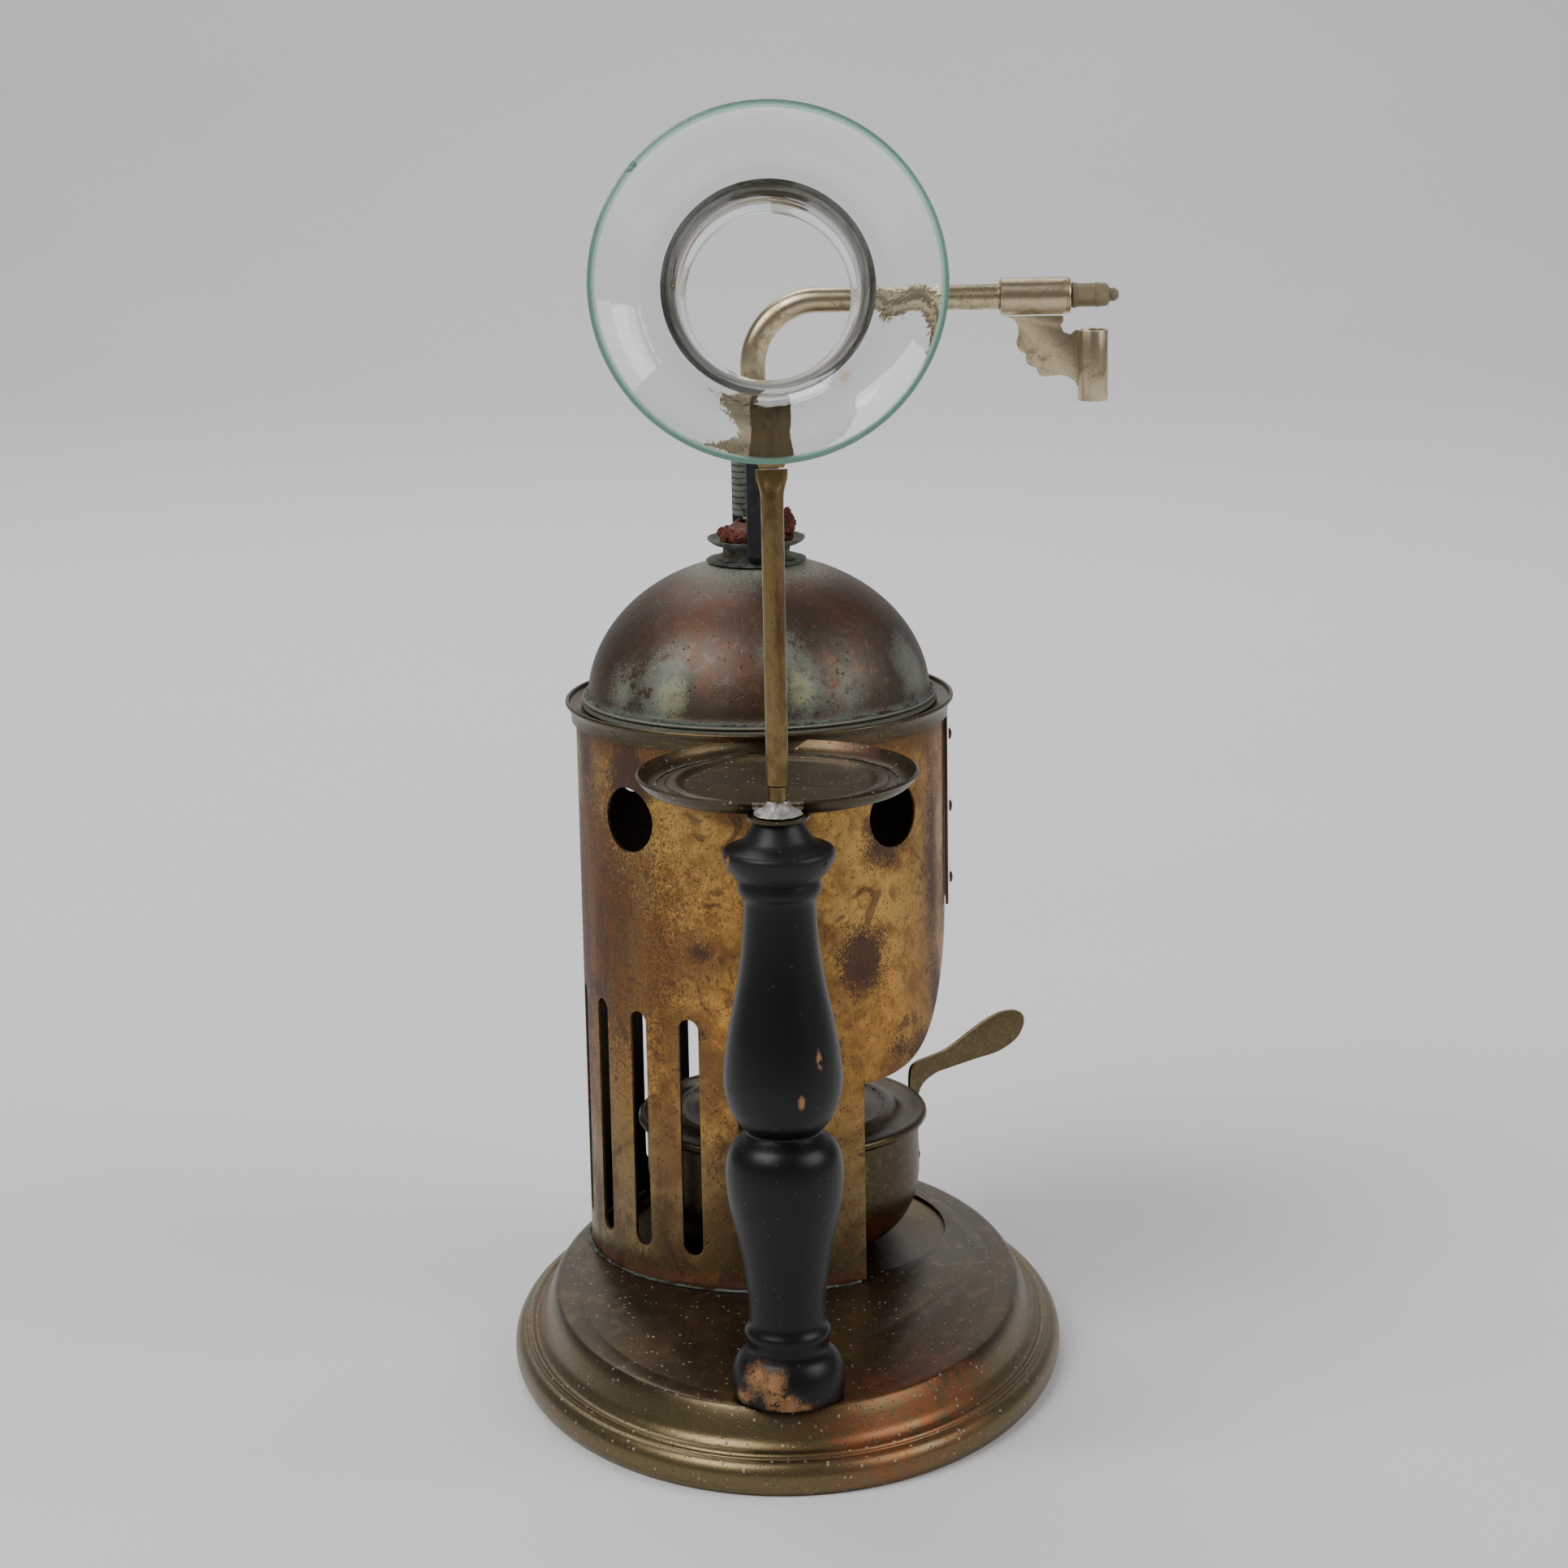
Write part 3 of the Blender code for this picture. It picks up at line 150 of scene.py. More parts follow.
class StudioSettings(bpy.types.PropertyGroup):
    floor: colour("Floor", "Colour of the floor and backdrop", (0.80, 0.80, 0.80))
    key_power: power("Key light", "Power of the large light above left", 15.0)
    fill_power: power("Fill light", "Power of the light on the right", 6.0)


# Modelling helpers


def start():
    """Leave nothing selected."""
    bpy.ops.object.select_all(action="DESELECT")


def pick(piece):
    """Select one piece alone and make it the active one."""
    start()
    piece.select_set(True)
    bpy.context.view_layer.objects.active = piece


def edit(action="SELECT"):
    """Open the active piece's mesh with all of it selected, or none."""
    bpy.ops.object.mode_set(mode="EDIT")
    bpy.ops.mesh.select_all(action=action)


def name_it(name):
    """Name the piece that was just added, and its mesh."""
    piece = bpy.context.object
    piece.name = piece.data.name = name
    return piece


def mm(points, out=0.0, up=0.0):
    """Points given in millimetres, moved out and up."""
    return [(x * MM + out, z * MM + up) for x, z in points]


def place_now(piece):
    """Put a piece's place and turn into its mesh."""
    pick(piece)
    bpy.ops.object.transform_apply(location=True, rotation=True, scale=True)


def apply(piece, kind, **settings):
    """Add one modifier and apply it."""
    pick(piece)
    step = piece.modifiers.new(kind.lower(), kind)
    for name, value in settings.items():
        setattr(step, name, value)
    bpy.ops.object.modifier_apply(modifier=step.name)


def ease(piece, width=EDGE, segments=2, angle=40):
    """Round off sharp edges."""
    apply(piece, "BEVEL", width=width, segments=segments, limit_method="ANGLE", angle_limit=radians(angle),
          use_clamp_overlap=True, harden_normals=False)


def cut(piece, tool, operation="DIFFERENCE"):
    """Cut a tool out of a piece, or join it on, and throw the tool away."""
    apply(piece, "BOOLEAN", operation=operation, object=tool, solver="EXACT")
    bpy.data.objects.remove(tool, do_unlink=True)


def close_shape(piece):
    """Merge doubles and face everything outwards."""
    pick(piece)
    edit()
    bpy.ops.mesh.remove_doubles(threshold=0.002 * MM)
    bpy.ops.mesh.normals_make_consistent(inside=False)
    bpy.ops.object.mode_set(mode="OBJECT")


def rings(name, where, levels, sides=128, ends=False):
    """Extrude a ring through (half width, half length, height) levels about an upright axis."""
    start()
    wide, long, height = levels[0]
    bpy.ops.mesh.primitive_circle_add(vertices=sides, radius=1, location=(where[0], where[1], height))
    piece = name_it(name)
    piece.scale = (wide, long, 1)
    place_now(piece)
    edit()
    if ends:
        bpy.ops.mesh.edge_face_add()
    for (wide, long, height), (next_wide, next_long, next_height) in zip(levels, levels[1:]):
        bpy.ops.mesh.extrude_region_move(TRANSFORM_OT_translate={"value": (0, 0, next_height - height)})
        bpy.ops.transform.resize(value=(next_wide / wide, next_long / long, 1),
                                 center_override=(where[0], where[1], next_height))
    bpy.ops.object.mode_set(mode="OBJECT")
    close_shape(piece)
    return piece


def lathe(name, where, profile, sides=128, closed=True, ends=False):
    """Turned piece from (radius, height) points. A closed profile returns to its first point."""
    points = list(profile) + ([profile[0]] if closed else [])
    return rings(name, where, [(radius, radius, height) for radius, height in points], sides, ends)


def cap_far_end(piece):
    """Close the open ring at an extruded piece's far end."""
    pick(piece)
    edit("DESELECT")
    bpy.ops.mesh.select_mode(type="EDGE")
    bpy.ops.mesh.select_non_manifold(extend=False)
    if bpy.context.object.data.total_edge_sel:
        bpy.ops.mesh.edge_face_add()
    bpy.ops.object.mode_set(mode="OBJECT")
    close_shape(piece)


def solid(name, where, profile, sides=128):
    """Turned piece with flat ends, from its first ring to its last."""
    piece = lathe(name, where, profile, sides, closed=False, ends=True)
    cap_far_end(piece)
    return piece


def lump(name, place, size, stretch, detail=3):
    """Small round body, stretched, for chips and lumps."""
    start()
    bpy.ops.mesh.primitive_ico_sphere_add(subdivisions=detail, radius=size * MM, location=place)
    piece = name_it(name)
    piece.scale = stretch
    place_now(piece)
    return piece


def outline(name, points, thickness):
    """Flat shape whose corners are extruded one from the next, then thickened."""
    start()
    bpy.ops.mesh.primitive_plane_add(size=MM, location=points[0])
    place_now(name_it(name))
    piece = bpy.context.object
    bpy.ops.object.mode_set(mode="EDIT")
    bpy.ops.mesh.select_mode(type="VERT")
    bpy.ops.mesh.select_all(action="SELECT")
    bpy.ops.mesh.merge(type="CENTER")
    for here, there in zip(points, points[1:]):
        step = Vector(there) - Vector(here)
        bpy.ops.mesh.extrude_region_move(TRANSFORM_OT_translate={"value": step})
    bpy.ops.mesh.select_all(action="SELECT")
    bpy.ops.mesh.edge_face_add()
    bpy.ops.mesh.extrude_region_move(TRANSFORM_OT_translate={"value": Vector(thickness)})
    bpy.ops.object.mode_set(mode="OBJECT")
    close_shape(piece)
    return piece


def rounded(points, steps=6):
    """Smooth curve through two-number points, by Catmull and Rom's rule."""
    spots = [Vector(p) for p in points]
    spots = [spots[0] * 2 - spots[1]] + spots + [spots[-1] * 2 - spots[-2]]
    made = []
    for i in range(1, len(spots) - 2):
        a, b, c, d = spots[i - 1:i + 3]
        for k in range(steps):
            t = k / steps
            made.append(tuple(0.5 * (2 * b + (c - a) * t + (2 * a - 5 * b + 4 * c - d) * t * t
                                     + (3 * b - a - 3 * c + d) * t ** 3)))
    made.append(tuple(spots[-2]))
    return made


def arc(middle, radius, first, last, steps=8):
    """Points on an arc, angles in degrees."""
    turns = [radians(first + (last - first) * i / steps) for i in range(steps + 1)]
    return [(middle[0] + radius * cos(a), middle[1] + radius * sin(a)) for a in turns]


def walled(path, wall):
    """Both faces of an even sheet whose one face is the path; the other lies to its right."""
    spots = [Vector(p) for p in path]
    across = []
    for a, b in zip(spots, spots[1:]):
        along = (b - a).normalized()
        across.append(Vector((along.y, -along.x)))
    far = []
    for i, spot in enumerate(spots):
        mitre = (across[max(i - 1, 0)] + across[min(i, len(across) - 1)]).normalized()
        far.append(tuple(spot + mitre * wall / max(mitre.dot(across[min(i, len(across) - 1)]), 0.5)))
    return [tuple(s) for s in spots] + far[::-1]


def ripple(piece, strength, size, depth=2):
    """Uneven the surface a little."""
    texture = bpy.data.textures.new(piece.name + "_ripple", "CLOUDS")
    texture.noise_scale = size
    texture.noise_depth = depth
    apply(piece, "DISPLACE", texture=texture, strength=strength, mid_level=0.5, texture_coords="LOCAL")
    bpy.data.textures.remove(texture)


def done(piece, body, slot, look, *nodes, angle=35):
    """Shade, paint and mount a finished piece in place of its plain nodes."""
    pick(piece)
    bpy.ops.object.shade_smooth_by_angle(angle=radians(angle))
    piece.data.materials.clear()
    piece.data.materials.append(look)
    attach(piece, body)
    if nodes:
        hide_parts(*nodes)
    return piece


def remove_span(piece, where, span):
    """Open a ring between two angles from the front, in degrees, and close its ends."""
    pick(piece)
    bpy.ops.object.mode_set(mode="EDIT")
    bpy.ops.mesh.select_mode(type="VERT")
    bpy.ops.mesh.select_all(action="DESELECT")
    bpy.ops.object.mode_set(mode="OBJECT")
    for vert in piece.data.vertices:
        angle = atan2(vert.co.x - where.x, where.y - vert.co.y) * 360 / tau % 360
        vert.select = span[0] < angle < span[1]
    bpy.ops.object.mode_set(mode="EDIT")
    bpy.ops.mesh.delete(type="VERT")
    bpy.ops.mesh.select_all(action="DESELECT")
    bpy.ops.mesh.select_mode(type="EDGE")
    bpy.ops.mesh.select_non_manifold(extend=False)
    bpy.ops.mesh.fill_holes(sides=0)
    bpy.ops.object.mode_set(mode="OBJECT")
    close_shape(piece)


def keep_span(piece, where, first, last):
    """Cut a ring down to the part between two angles from the front, in degrees, and close its ends."""
    pick(piece)
    bpy.ops.object.mode_set(mode="EDIT")
    for angle, inner in ((first, True), (last, False)):
        turn = radians(angle)
        across = Vector((cos(turn), sin(turn), 0)) * (1 if inner else -1)
        bpy.ops.mesh.select_all(action="SELECT")
        bpy.ops.mesh.bisect(plane_co=where, plane_no=across, clear_inner=True, use_fill=True)
    bpy.ops.object.mode_set(mode="OBJECT")
    close_shape(piece)


def crust_ring(name, where, radius, height, wide, tall, body, span=None):
    """Uneven bead of scale lying in a corner, all round or between two angles from the front."""
    profile = [(radius, height), (radius + wide, height), (radius + wide * 0.6, height + tall * 0.55),
               (radius, height + tall)]
    ring = lathe(name, where, profile, 256)
    if span:
        remove_span(ring, where, span)
    apply(ring, "SUBSURF", levels=1, render_levels=1)
    ripple(ring, 0.5 * MM, 1.1 * MM)
    done(ring, body, "pale_bronze", look("limescale_crust"), angle=60)


def paint_node(node, finish):
    """Give a plain node a better finish."""
    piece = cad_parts[node]
    piece.data.materials.clear()
    piece.data.materials.append(look(finish))


# Finishes


class Paint:
    """Short hand for a material's or a node group's tree."""

    def __init__(self, tree):
        self.tree = tree

    def add(self, kind, inputs=None, **settings):
        node = self.tree.nodes.new(kind)
        for name, value in settings.items():
            setattr(node, name, value)
        for name, value in (inputs or {}).items():
            self.feed(node.inputs[name], value)
        return node

    def feed(self, socket, value):
        if isinstance(value, bpy.types.NodeSocket):
            self.tree.links.new(value, socket)
        else:
            socket.default_value = value

    def coords(self, scale=(1, 1, 1), shift=(0, 0, 0)):
        """The piece's own coordinates in metres, stretched and moved."""
        where = self.add("ShaderNodeTexCoord")
        return self.add("ShaderNodeMapping", {"Vector": where.outputs["Object"], "Location": shift,
                                              "Scale": scale}).outputs["Vector"]

    def noise(self, scale, detail=6.0, roughness=0.6, vector=None, distortion=0.0):
        inputs = {"Scale": scale, "Detail": detail, "Roughness": roughness, "Distortion": distortion}
        if vector is not None:
            inputs["Vector"] = vector
        return self.add("ShaderNodeTexNoise", inputs).outputs["Fac"]

    def band(self, value, low, high, to_low=0.0, to_high=1.0):
        """Smooth step of a value from low to high."""
        return self.add("ShaderNodeMapRange", {"Value": value, "From Min": low, "From Max": high,
                                               "To Min": to_low, "To Max": to_high},
                        interpolation_type="SMOOTHSTEP").outputs["Result"]

    def pair(self, kind, operation, first, second):
        """A maths node fed with two values."""
        node = self.add(kind, operation=operation)
        self.feed(node.inputs[0], first)
        self.feed(node.inputs[1], second)
        return node.outputs

    def times(self, first, second):
        return self.pair("ShaderNodeMath", "MULTIPLY", first, second)["Value"]

    def plus(self, first, second):
        return self.pair("ShaderNodeMath", "ADD", first, second)["Value"]

    def minus(self, first, second):
        return self.pair("ShaderNodeMath", "SUBTRACT", first, second)["Value"]

    def most(self, first, second):
        return self.pair("ShaderNodeMath", "MAXIMUM", first, second)["Value"]

    def any_of(self, masks):
        """The strongest of several masks."""
        return reduce(self.most, masks)

    def layer(self, base, mask, share, colour):
        """Lay a colour over the base where a mask is, at a share of its strength."""
        return self.blend(self.times(mask, share), base, colour)

    def blend(self, share, under, over):
        node = self.add("ShaderNodeMix", data_type="RGBA", blend_type="MIX")
        self.feed(node.inputs[0], share)
        for socket, value in ((node.inputs[6], under), (node.inputs[7], over)):
            self.feed(socket, (*value, 1) if isinstance(value, (tuple, list)) and len(value) == 3 else value)
        return node.outputs[2]

    def axis(self, vector, which):
        return self.add("ShaderNodeSeparateXYZ", {"Vector": vector}).outputs[which]

    def near(self, vector, spot, reach, stretch=(1, 1, 1), wobble=0.0, seed=0.0):
        """Mask that is 1 within reach of a spot, with an uneven edge."""
        moved = self.pair("ShaderNodeVectorMath", "SUBTRACT", vector, spot)["Vector"]
        shaped = self.pair("ShaderNodeVectorMath", "MULTIPLY", moved, stretch)["Vector"]
        distance = self.add("ShaderNodeVectorMath", {"Vector": shaped}, operation="LENGTH").outputs["Value"]
        if wobble:
            rough = self.band(self.noise(170 + seed, 7, 0.72, distortion=0.8), 0.30, 0.70, -0.5, 0.5)
            distance = self.plus(distance, self.times(rough, wobble))
        return self.band(distance, reach * 1.12, reach * 0.62)

    def ragged(self, mask, size, bite=1.5, seed=0.0):
        """The same mask with a crisp edge eaten away by noise."""
        rough = self.band(self.noise(size, 8, 0.72, self.coords(shift=(seed, 0, seed))), 0.30, 0.70, -0.5,
                          0.5)
        crisp = self.band(self.plus(mask, self.times(rough, bite)), 0.46, 0.56)
        return self.times(crisp, self.band(mask, 0.02, 0.20))

    def group(self, name, vector, **inputs):
        """Outputs of a shared effect."""
        node = self.add("ShaderNodeGroup")
        node.node_tree = effect(name)
        self.feed(node.inputs["Vector"], vector)
        for title, value in inputs.items():
            self.feed(node.inputs[title.capitalize()], value)
        return node.outputs

    def blotches(self, size, cover, shift=(0, 0, 0), scale=(1, 1, 1)):
        return self.group("blotches", self.coords(scale, shift), size=size, cover=cover)

    def specks(self, density, amount, shift=(0, 0, 0)):
        return self.group("specks", self.coords(shift=shift), density=density, amount=amount)

    def streaks(self, size):
        return self.group("streaks", self.coords(), size=size)


def new_group(name, inputs, outputs):
    """Node group with named sockets, and its two end nodes."""
    tree = bpy.data.node_groups.new(name, "ShaderNodeTree")
    for title, kind, value in inputs:
        socket = tree.interface.new_socket(title, in_out="INPUT", socket_type=kind)
        if value is not None:
            socket.default_value = value
    for title, kind in outputs:
        tree.interface.new_socket(title, in_out="OUTPUT", socket_type=kind)
    paint = Paint(tree)
    return paint, paint.add("NodeGroupInput"), paint.add("NodeGroupOutput")


def group_blotches():
    """Cloudy tarnish with small hard-edged islands in it."""
    paint, given, result = new_group("tarnish_blotches", [("Vector", "NodeSocketVector", None),
                                                          ("Size", "NodeSocketFloat", 60.0),
                                                          ("Cover", "NodeSocketFloat", 0.5)],
                                     [("Mask", "NodeSocketFloat"), ("Islands", "NodeSocketFloat"),
                                      ("Height", "NodeSocketFloat")])
    vector, size = given.outputs["Vector"], given.outputs["Size"]
    cloud = paint.noise(size, 8, 0.62, vector, 0.6)
    fine = paint.noise(paint.times(size, 7.0), 6, 0.7, vector)
    mixed = paint.plus(paint.times(cloud, 0.8), paint.times(fine, 0.2))
    edge = paint.minus(0.78, paint.times(given.outputs["Cover"], 0.5))
    gap = paint.minus(mixed, edge)
    paint.feed(result.inputs["Mask"], paint.band(gap, -0.06, 0.10))
    island = paint.noise(paint.times(size, 2.6), 4, 0.5, vector, 1.2)
    paint.feed(result.inputs["Islands"], paint.band(island, 0.62, 0.655))
    paint.feed(result.inputs["Height"], mixed)
    return paint.tree


def group_specks():
    """Small pits and dust specks of uneven size."""
    paint, given, result = new_group("pits_and_dust", [("Vector", "NodeSocketVector", None),
                                                       ("Density", "NodeSocketFloat", 900.0),
                                                       ("Amount", "NodeSocketFloat", 0.5)],
                                     [("Mask", "NodeSocketFloat"), ("Fine", "NodeSocketFloat")])
    vector, density = given.outputs["Vector"], given.outputs["Density"]
    cells = paint.add("ShaderNodeTexVoronoi", {"Vector": vector, "Scale": density, "Randomness": 1.0})
    chance = paint.axis(cells.outputs["Color"], "X")
    keep = paint.band(chance, paint.minus(1.0, given.outputs["Amount"]), 1.0)
    dot = paint.band(cells.outputs["Distance"], 0.34, 0.16)
    paint.feed(result.inputs["Mask"], paint.times(dot, keep))
    grain = paint.noise(paint.times(density, 1.7), 4, 0.75, vector)
    paint.feed(result.inputs["Fine"], paint.band(grain, 0.5, 0.72))
    return paint.tree


def group_streaks():
    """Upright runs and fine drawn scratches."""
    paint, given, result = new_group("runs_and_scratches", [("Vector", "NodeSocketVector", None),
                                                            ("Size", "NodeSocketFloat", 120.0)],
                                     [("Runs", "NodeSocketFloat"), ("Scratches", "NodeSocketFloat")])
    tall = paint.add("ShaderNodeMapping", {"Vector": given.outputs["Vector"],
                                           "Scale": (1, 1, 0.12)}).outputs[0]
    paint.feed(result.inputs["Runs"], paint.band(paint.noise(given.outputs["Size"], 6, 0.6, tall, 0.3),
                                                 0.42, 0.68))
    thin = paint.add("ShaderNodeMapping", {"Vector": given.outputs["Vector"],
                                           "Scale": (1, 1, 0.03)}).outputs[0]
    lines = paint.noise(paint.times(given.outputs["Size"], 14.0), 3, 0.6, thin)
    paint.feed(result.inputs["Scratches"], paint.band(lines, 0.56, 0.70))
    return paint.tree


groups = {}


def effect(name):
    """A shared node group, built the first time it is asked for."""
    makers = {"blotches": group_blotches, "specks": group_specks, "streaks": group_streaks}
    if name not in groups:
        groups[name] = makers[name]()
    return groups[name]


def new_look(name):
    look = bpy.data.materials.new(name)
    look.use_nodes = True
    paint = Paint(look.node_tree)
    return look, paint, look.node_tree.nodes["Principled BSDF"]


def wrap_up(paint, shader, colour, roughness, metallic, height=None, relief=0.1 * MM, strength=0.5):
    """Feed the shader's own sockets."""
    paint.feed(shader.inputs["Base Color"], (*colour, 1) if isinstance(colour, tuple) else colour)
    paint.feed(shader.inputs["Roughness"], roughness)
    paint.feed(shader.inputs["Metallic"], metallic)
    if height is not None:
        bump = paint.add("ShaderNodeBump", {"Height": height, "Strength": strength, "Distance": relief})
        paint.feed(shader.inputs["Normal"], bump.outputs["Normal"])


def chimney_spot(angle, height):
    """A point on the chimney's outside, by angle from the front in degrees and height."""
    turn = radians(angle)
    return (CHIMNEY.x + CHIMNEY_RADIUS * sin(turn), CHIMNEY.y - CHIMNEY_RADIUS * cos(turn), height)


def look_chimney(colours):
    """Golden-brown brass: heat stains, runs, drips, pits, green towards the foot, painted highlights at the
    front and painted shade with soot inside.
    """
    look, paint, shader = new_look("aged_brass_chimney")
    here = paint.coords()
    height = paint.axis(here, "Z")
    patches = paint.blotches(48.0, 0.56)
    small = paint.blotches(170.0, 0.52, (3, 1, 2))
    grit = paint.blotches(520.0, 0.40, (7, 3, 1))
    specks = paint.specks(1100.0, 0.42)
    streaks = paint.streaks(95.0)
    gold = paint.blend(paint.band(paint.noise(70, 7, 0.66), 0.40, 0.60), tuple(colours.brass),
                       (0.33, 0.185, 0.052))
    # Painted highlights: lighter gold where the lights reflect, on the front left and front right.
    painted_highlight = paint.near(here, chimney_spot(-30, 112 * MM), 20 * MM, (1, 1, 0.8), 22 * MM, 4)
    painted_highlight = paint.most(painted_highlight, paint.near(here, chimney_spot(30, 100 * MM), 17 * MM, (1, 1, 0.45),
                                           20 * MM, 7))
    gold = paint.blend(paint.times(painted_highlight, 0.75), gold, (0.62, 0.38, 0.11))
    # Painted highlight: bright orange-gold patch at the front, left of the middle.
    base = paint.blend(paint.near(here, chimney_spot(-18, 80 * MM), 20 * MM, (1, 1, 0.62), 20 * MM), gold,
                       (0.74, 0.37, 0.085))
    # Painted highlight: orange patch at the front right.
    orange = paint.near(here, chimney_spot(34, 72 * MM), 13 * MM, (1, 1, 0.6), 12 * MM, 21)
    base = paint.layer(base, orange, 0.6, (0.62, 0.29, 0.07))
    olive = paint.band(height, CHIMNEY_FOOT + 58 * MM, CHIMNEY_FOOT + 2 * MM)
    olive = paint.times(olive, paint.band(paint.noise(60, 6, 0.6), 0.30, 0.62, 0.45, 1.0))
    base = paint.blend(olive, base, (0.165, 0.158, 0.092))
    left = paint.near(here, chimney_spot(-60, 92 * MM), 26 * MM, (0.9, 0.9, 0.80), 34 * MM, 30)
    shoulder = paint.plus(height, paint.times(paint.noise(120, 6, 0.7), 16 * MM))
    left = paint.most(left, paint.band(shoulder, CHIMNEY_TOP - 1 * MM, CHIMNEY_TOP + 5 * MM, 0.0, 0.8))
    stain = paint.most(paint.times(patches["Mask"], 0.75), paint.times(left, 0.95))
    stain = paint.times(stain, paint.band(paint.noise(260, 6, 0.7), 0.30, 0.50, 0.55, 1.0))
    base = paint.blend(stain, base, (0.105, 0.055, 0.036))
    rust = paint.times(small["Mask"], paint.band(height, 45 * MM, 100 * MM, 0.25, 0.75))
    base = paint.blend(rust, base, (0.20, 0.085, 0.028))
    base = paint.layer(base, grit["Mask"], 0.45, (0.115, 0.062, 0.026))
    base = paint.layer(base, streaks["Runs"], 0.30, (0.33, 0.205, 0.085))
    stains = ((40, 112, 5.5, 0.9), (32, 88, 7.0, 0.8), (-44, 127, 7.5, 0.9), (66, 104, 3.0, 0.13),
              (69, 74, 3.4, 0.35), (-20, 91, 2.6, 1.2), (-23, 72.5, 2.8, 1.3), (8, 130, 6.0, 1.1),
              (-70, 128, 4.5, 0.4), (58, 62, 5.0, 0.8), (46, 66, 2.4, 1.0), (-66, 78, 4.6, 1.9))
    dark = paint.any_of(paint.near(here, chimney_spot(angle, level * MM), reach * MM, (1, 1, tall),
                                   6.5 * MM, level) for angle, level, reach, tall in stains)
    dark = paint.most(dark, paint.near(here, chimney_spot(-88, 70 * MM), 12 * MM, (1, 1, 0.30), 14 * MM, 55))
    dark = paint.times(paint.ragged(dark, 260, 1.1, 2.0), 0.95)
    dark = paint.most(dark, paint.times(patches["Islands"], 0.6))
    dark = paint.most(dark, paint.times(small["Islands"], 0.35))
    dark = paint.times(dark, paint.band(paint.noise(330, 6, 0.72), 0.28, 0.46, 0.45, 1.0))
    base = paint.blend(dark, base, tuple(colours.heat_stain))
    drip = paint.near(here, chimney_spot(-32, 44 * MM), 4.4 * MM, (1, 1, 0.5), 2.5 * MM, 9)
    for angle, level, reach in ((-41, 62, 2.0), (-19, 68, 2.6), (-25, 57, 1.5), (-31, 55, 1.2)):
        drop = paint.near(here, chimney_spot(angle, level * MM), reach * MM, (1, 1, 0.8), 1.6 * MM, level + 1)
        drip = paint.most(drip, drop)
    base = paint.layer(base, drip, 0.75, (0.20, 0.105, 0.05))
    foot_line = paint.band(paint.plus(height, paint.times(paint.noise(150, 5), 5 * MM)), CHIMNEY_FOOT
                           + 6.5 * MM, CHIMNEY_FOOT + 3.5 * MM)
    base = paint.layer(base, foot_line, 0.7, (0.22, 0.085, 0.055))
    base = paint.layer(base, specks["Mask"], 0.8, (0.06, 0.036, 0.022))
    base = paint.layer(base, specks["Fine"], 0.25, (0.14, 0.085, 0.04))
    # Painted shade with soot: the inside of the wall is made near-black.
    inside = paint.near(here, (CHIMNEY.x, CHIMNEY.y, 0), (CHIMNEY_RADIUS - 0.15 * MM) / 1.12, (1, 1, 0))
    inside = paint.band(inside, 0.0, 0.002)
    base = paint.layer(base, inside, 0.93, (0.018, 0.014, 0.011))
    dark = paint.most(dark, inside)
    rough = paint.plus(0.31, paint.times(paint.most(stain, dark), 0.16))
    rough = paint.plus(rough, paint.times(patches["Height"], 0.18))
    metal = paint.minus(0.97, paint.times(paint.most(dark, foot_line), 0.35))
    relief = paint.minus(paint.plus(paint.times(paint.noise(30, 2), 1.6), patches["Height"]),
                         paint.plus(specks["Mask"], paint.times(streaks["Scratches"], 0.18)))
    wrap_up(paint, shader, base, rough, metal, relief, 0.22 * MM, 0.42)
    return look


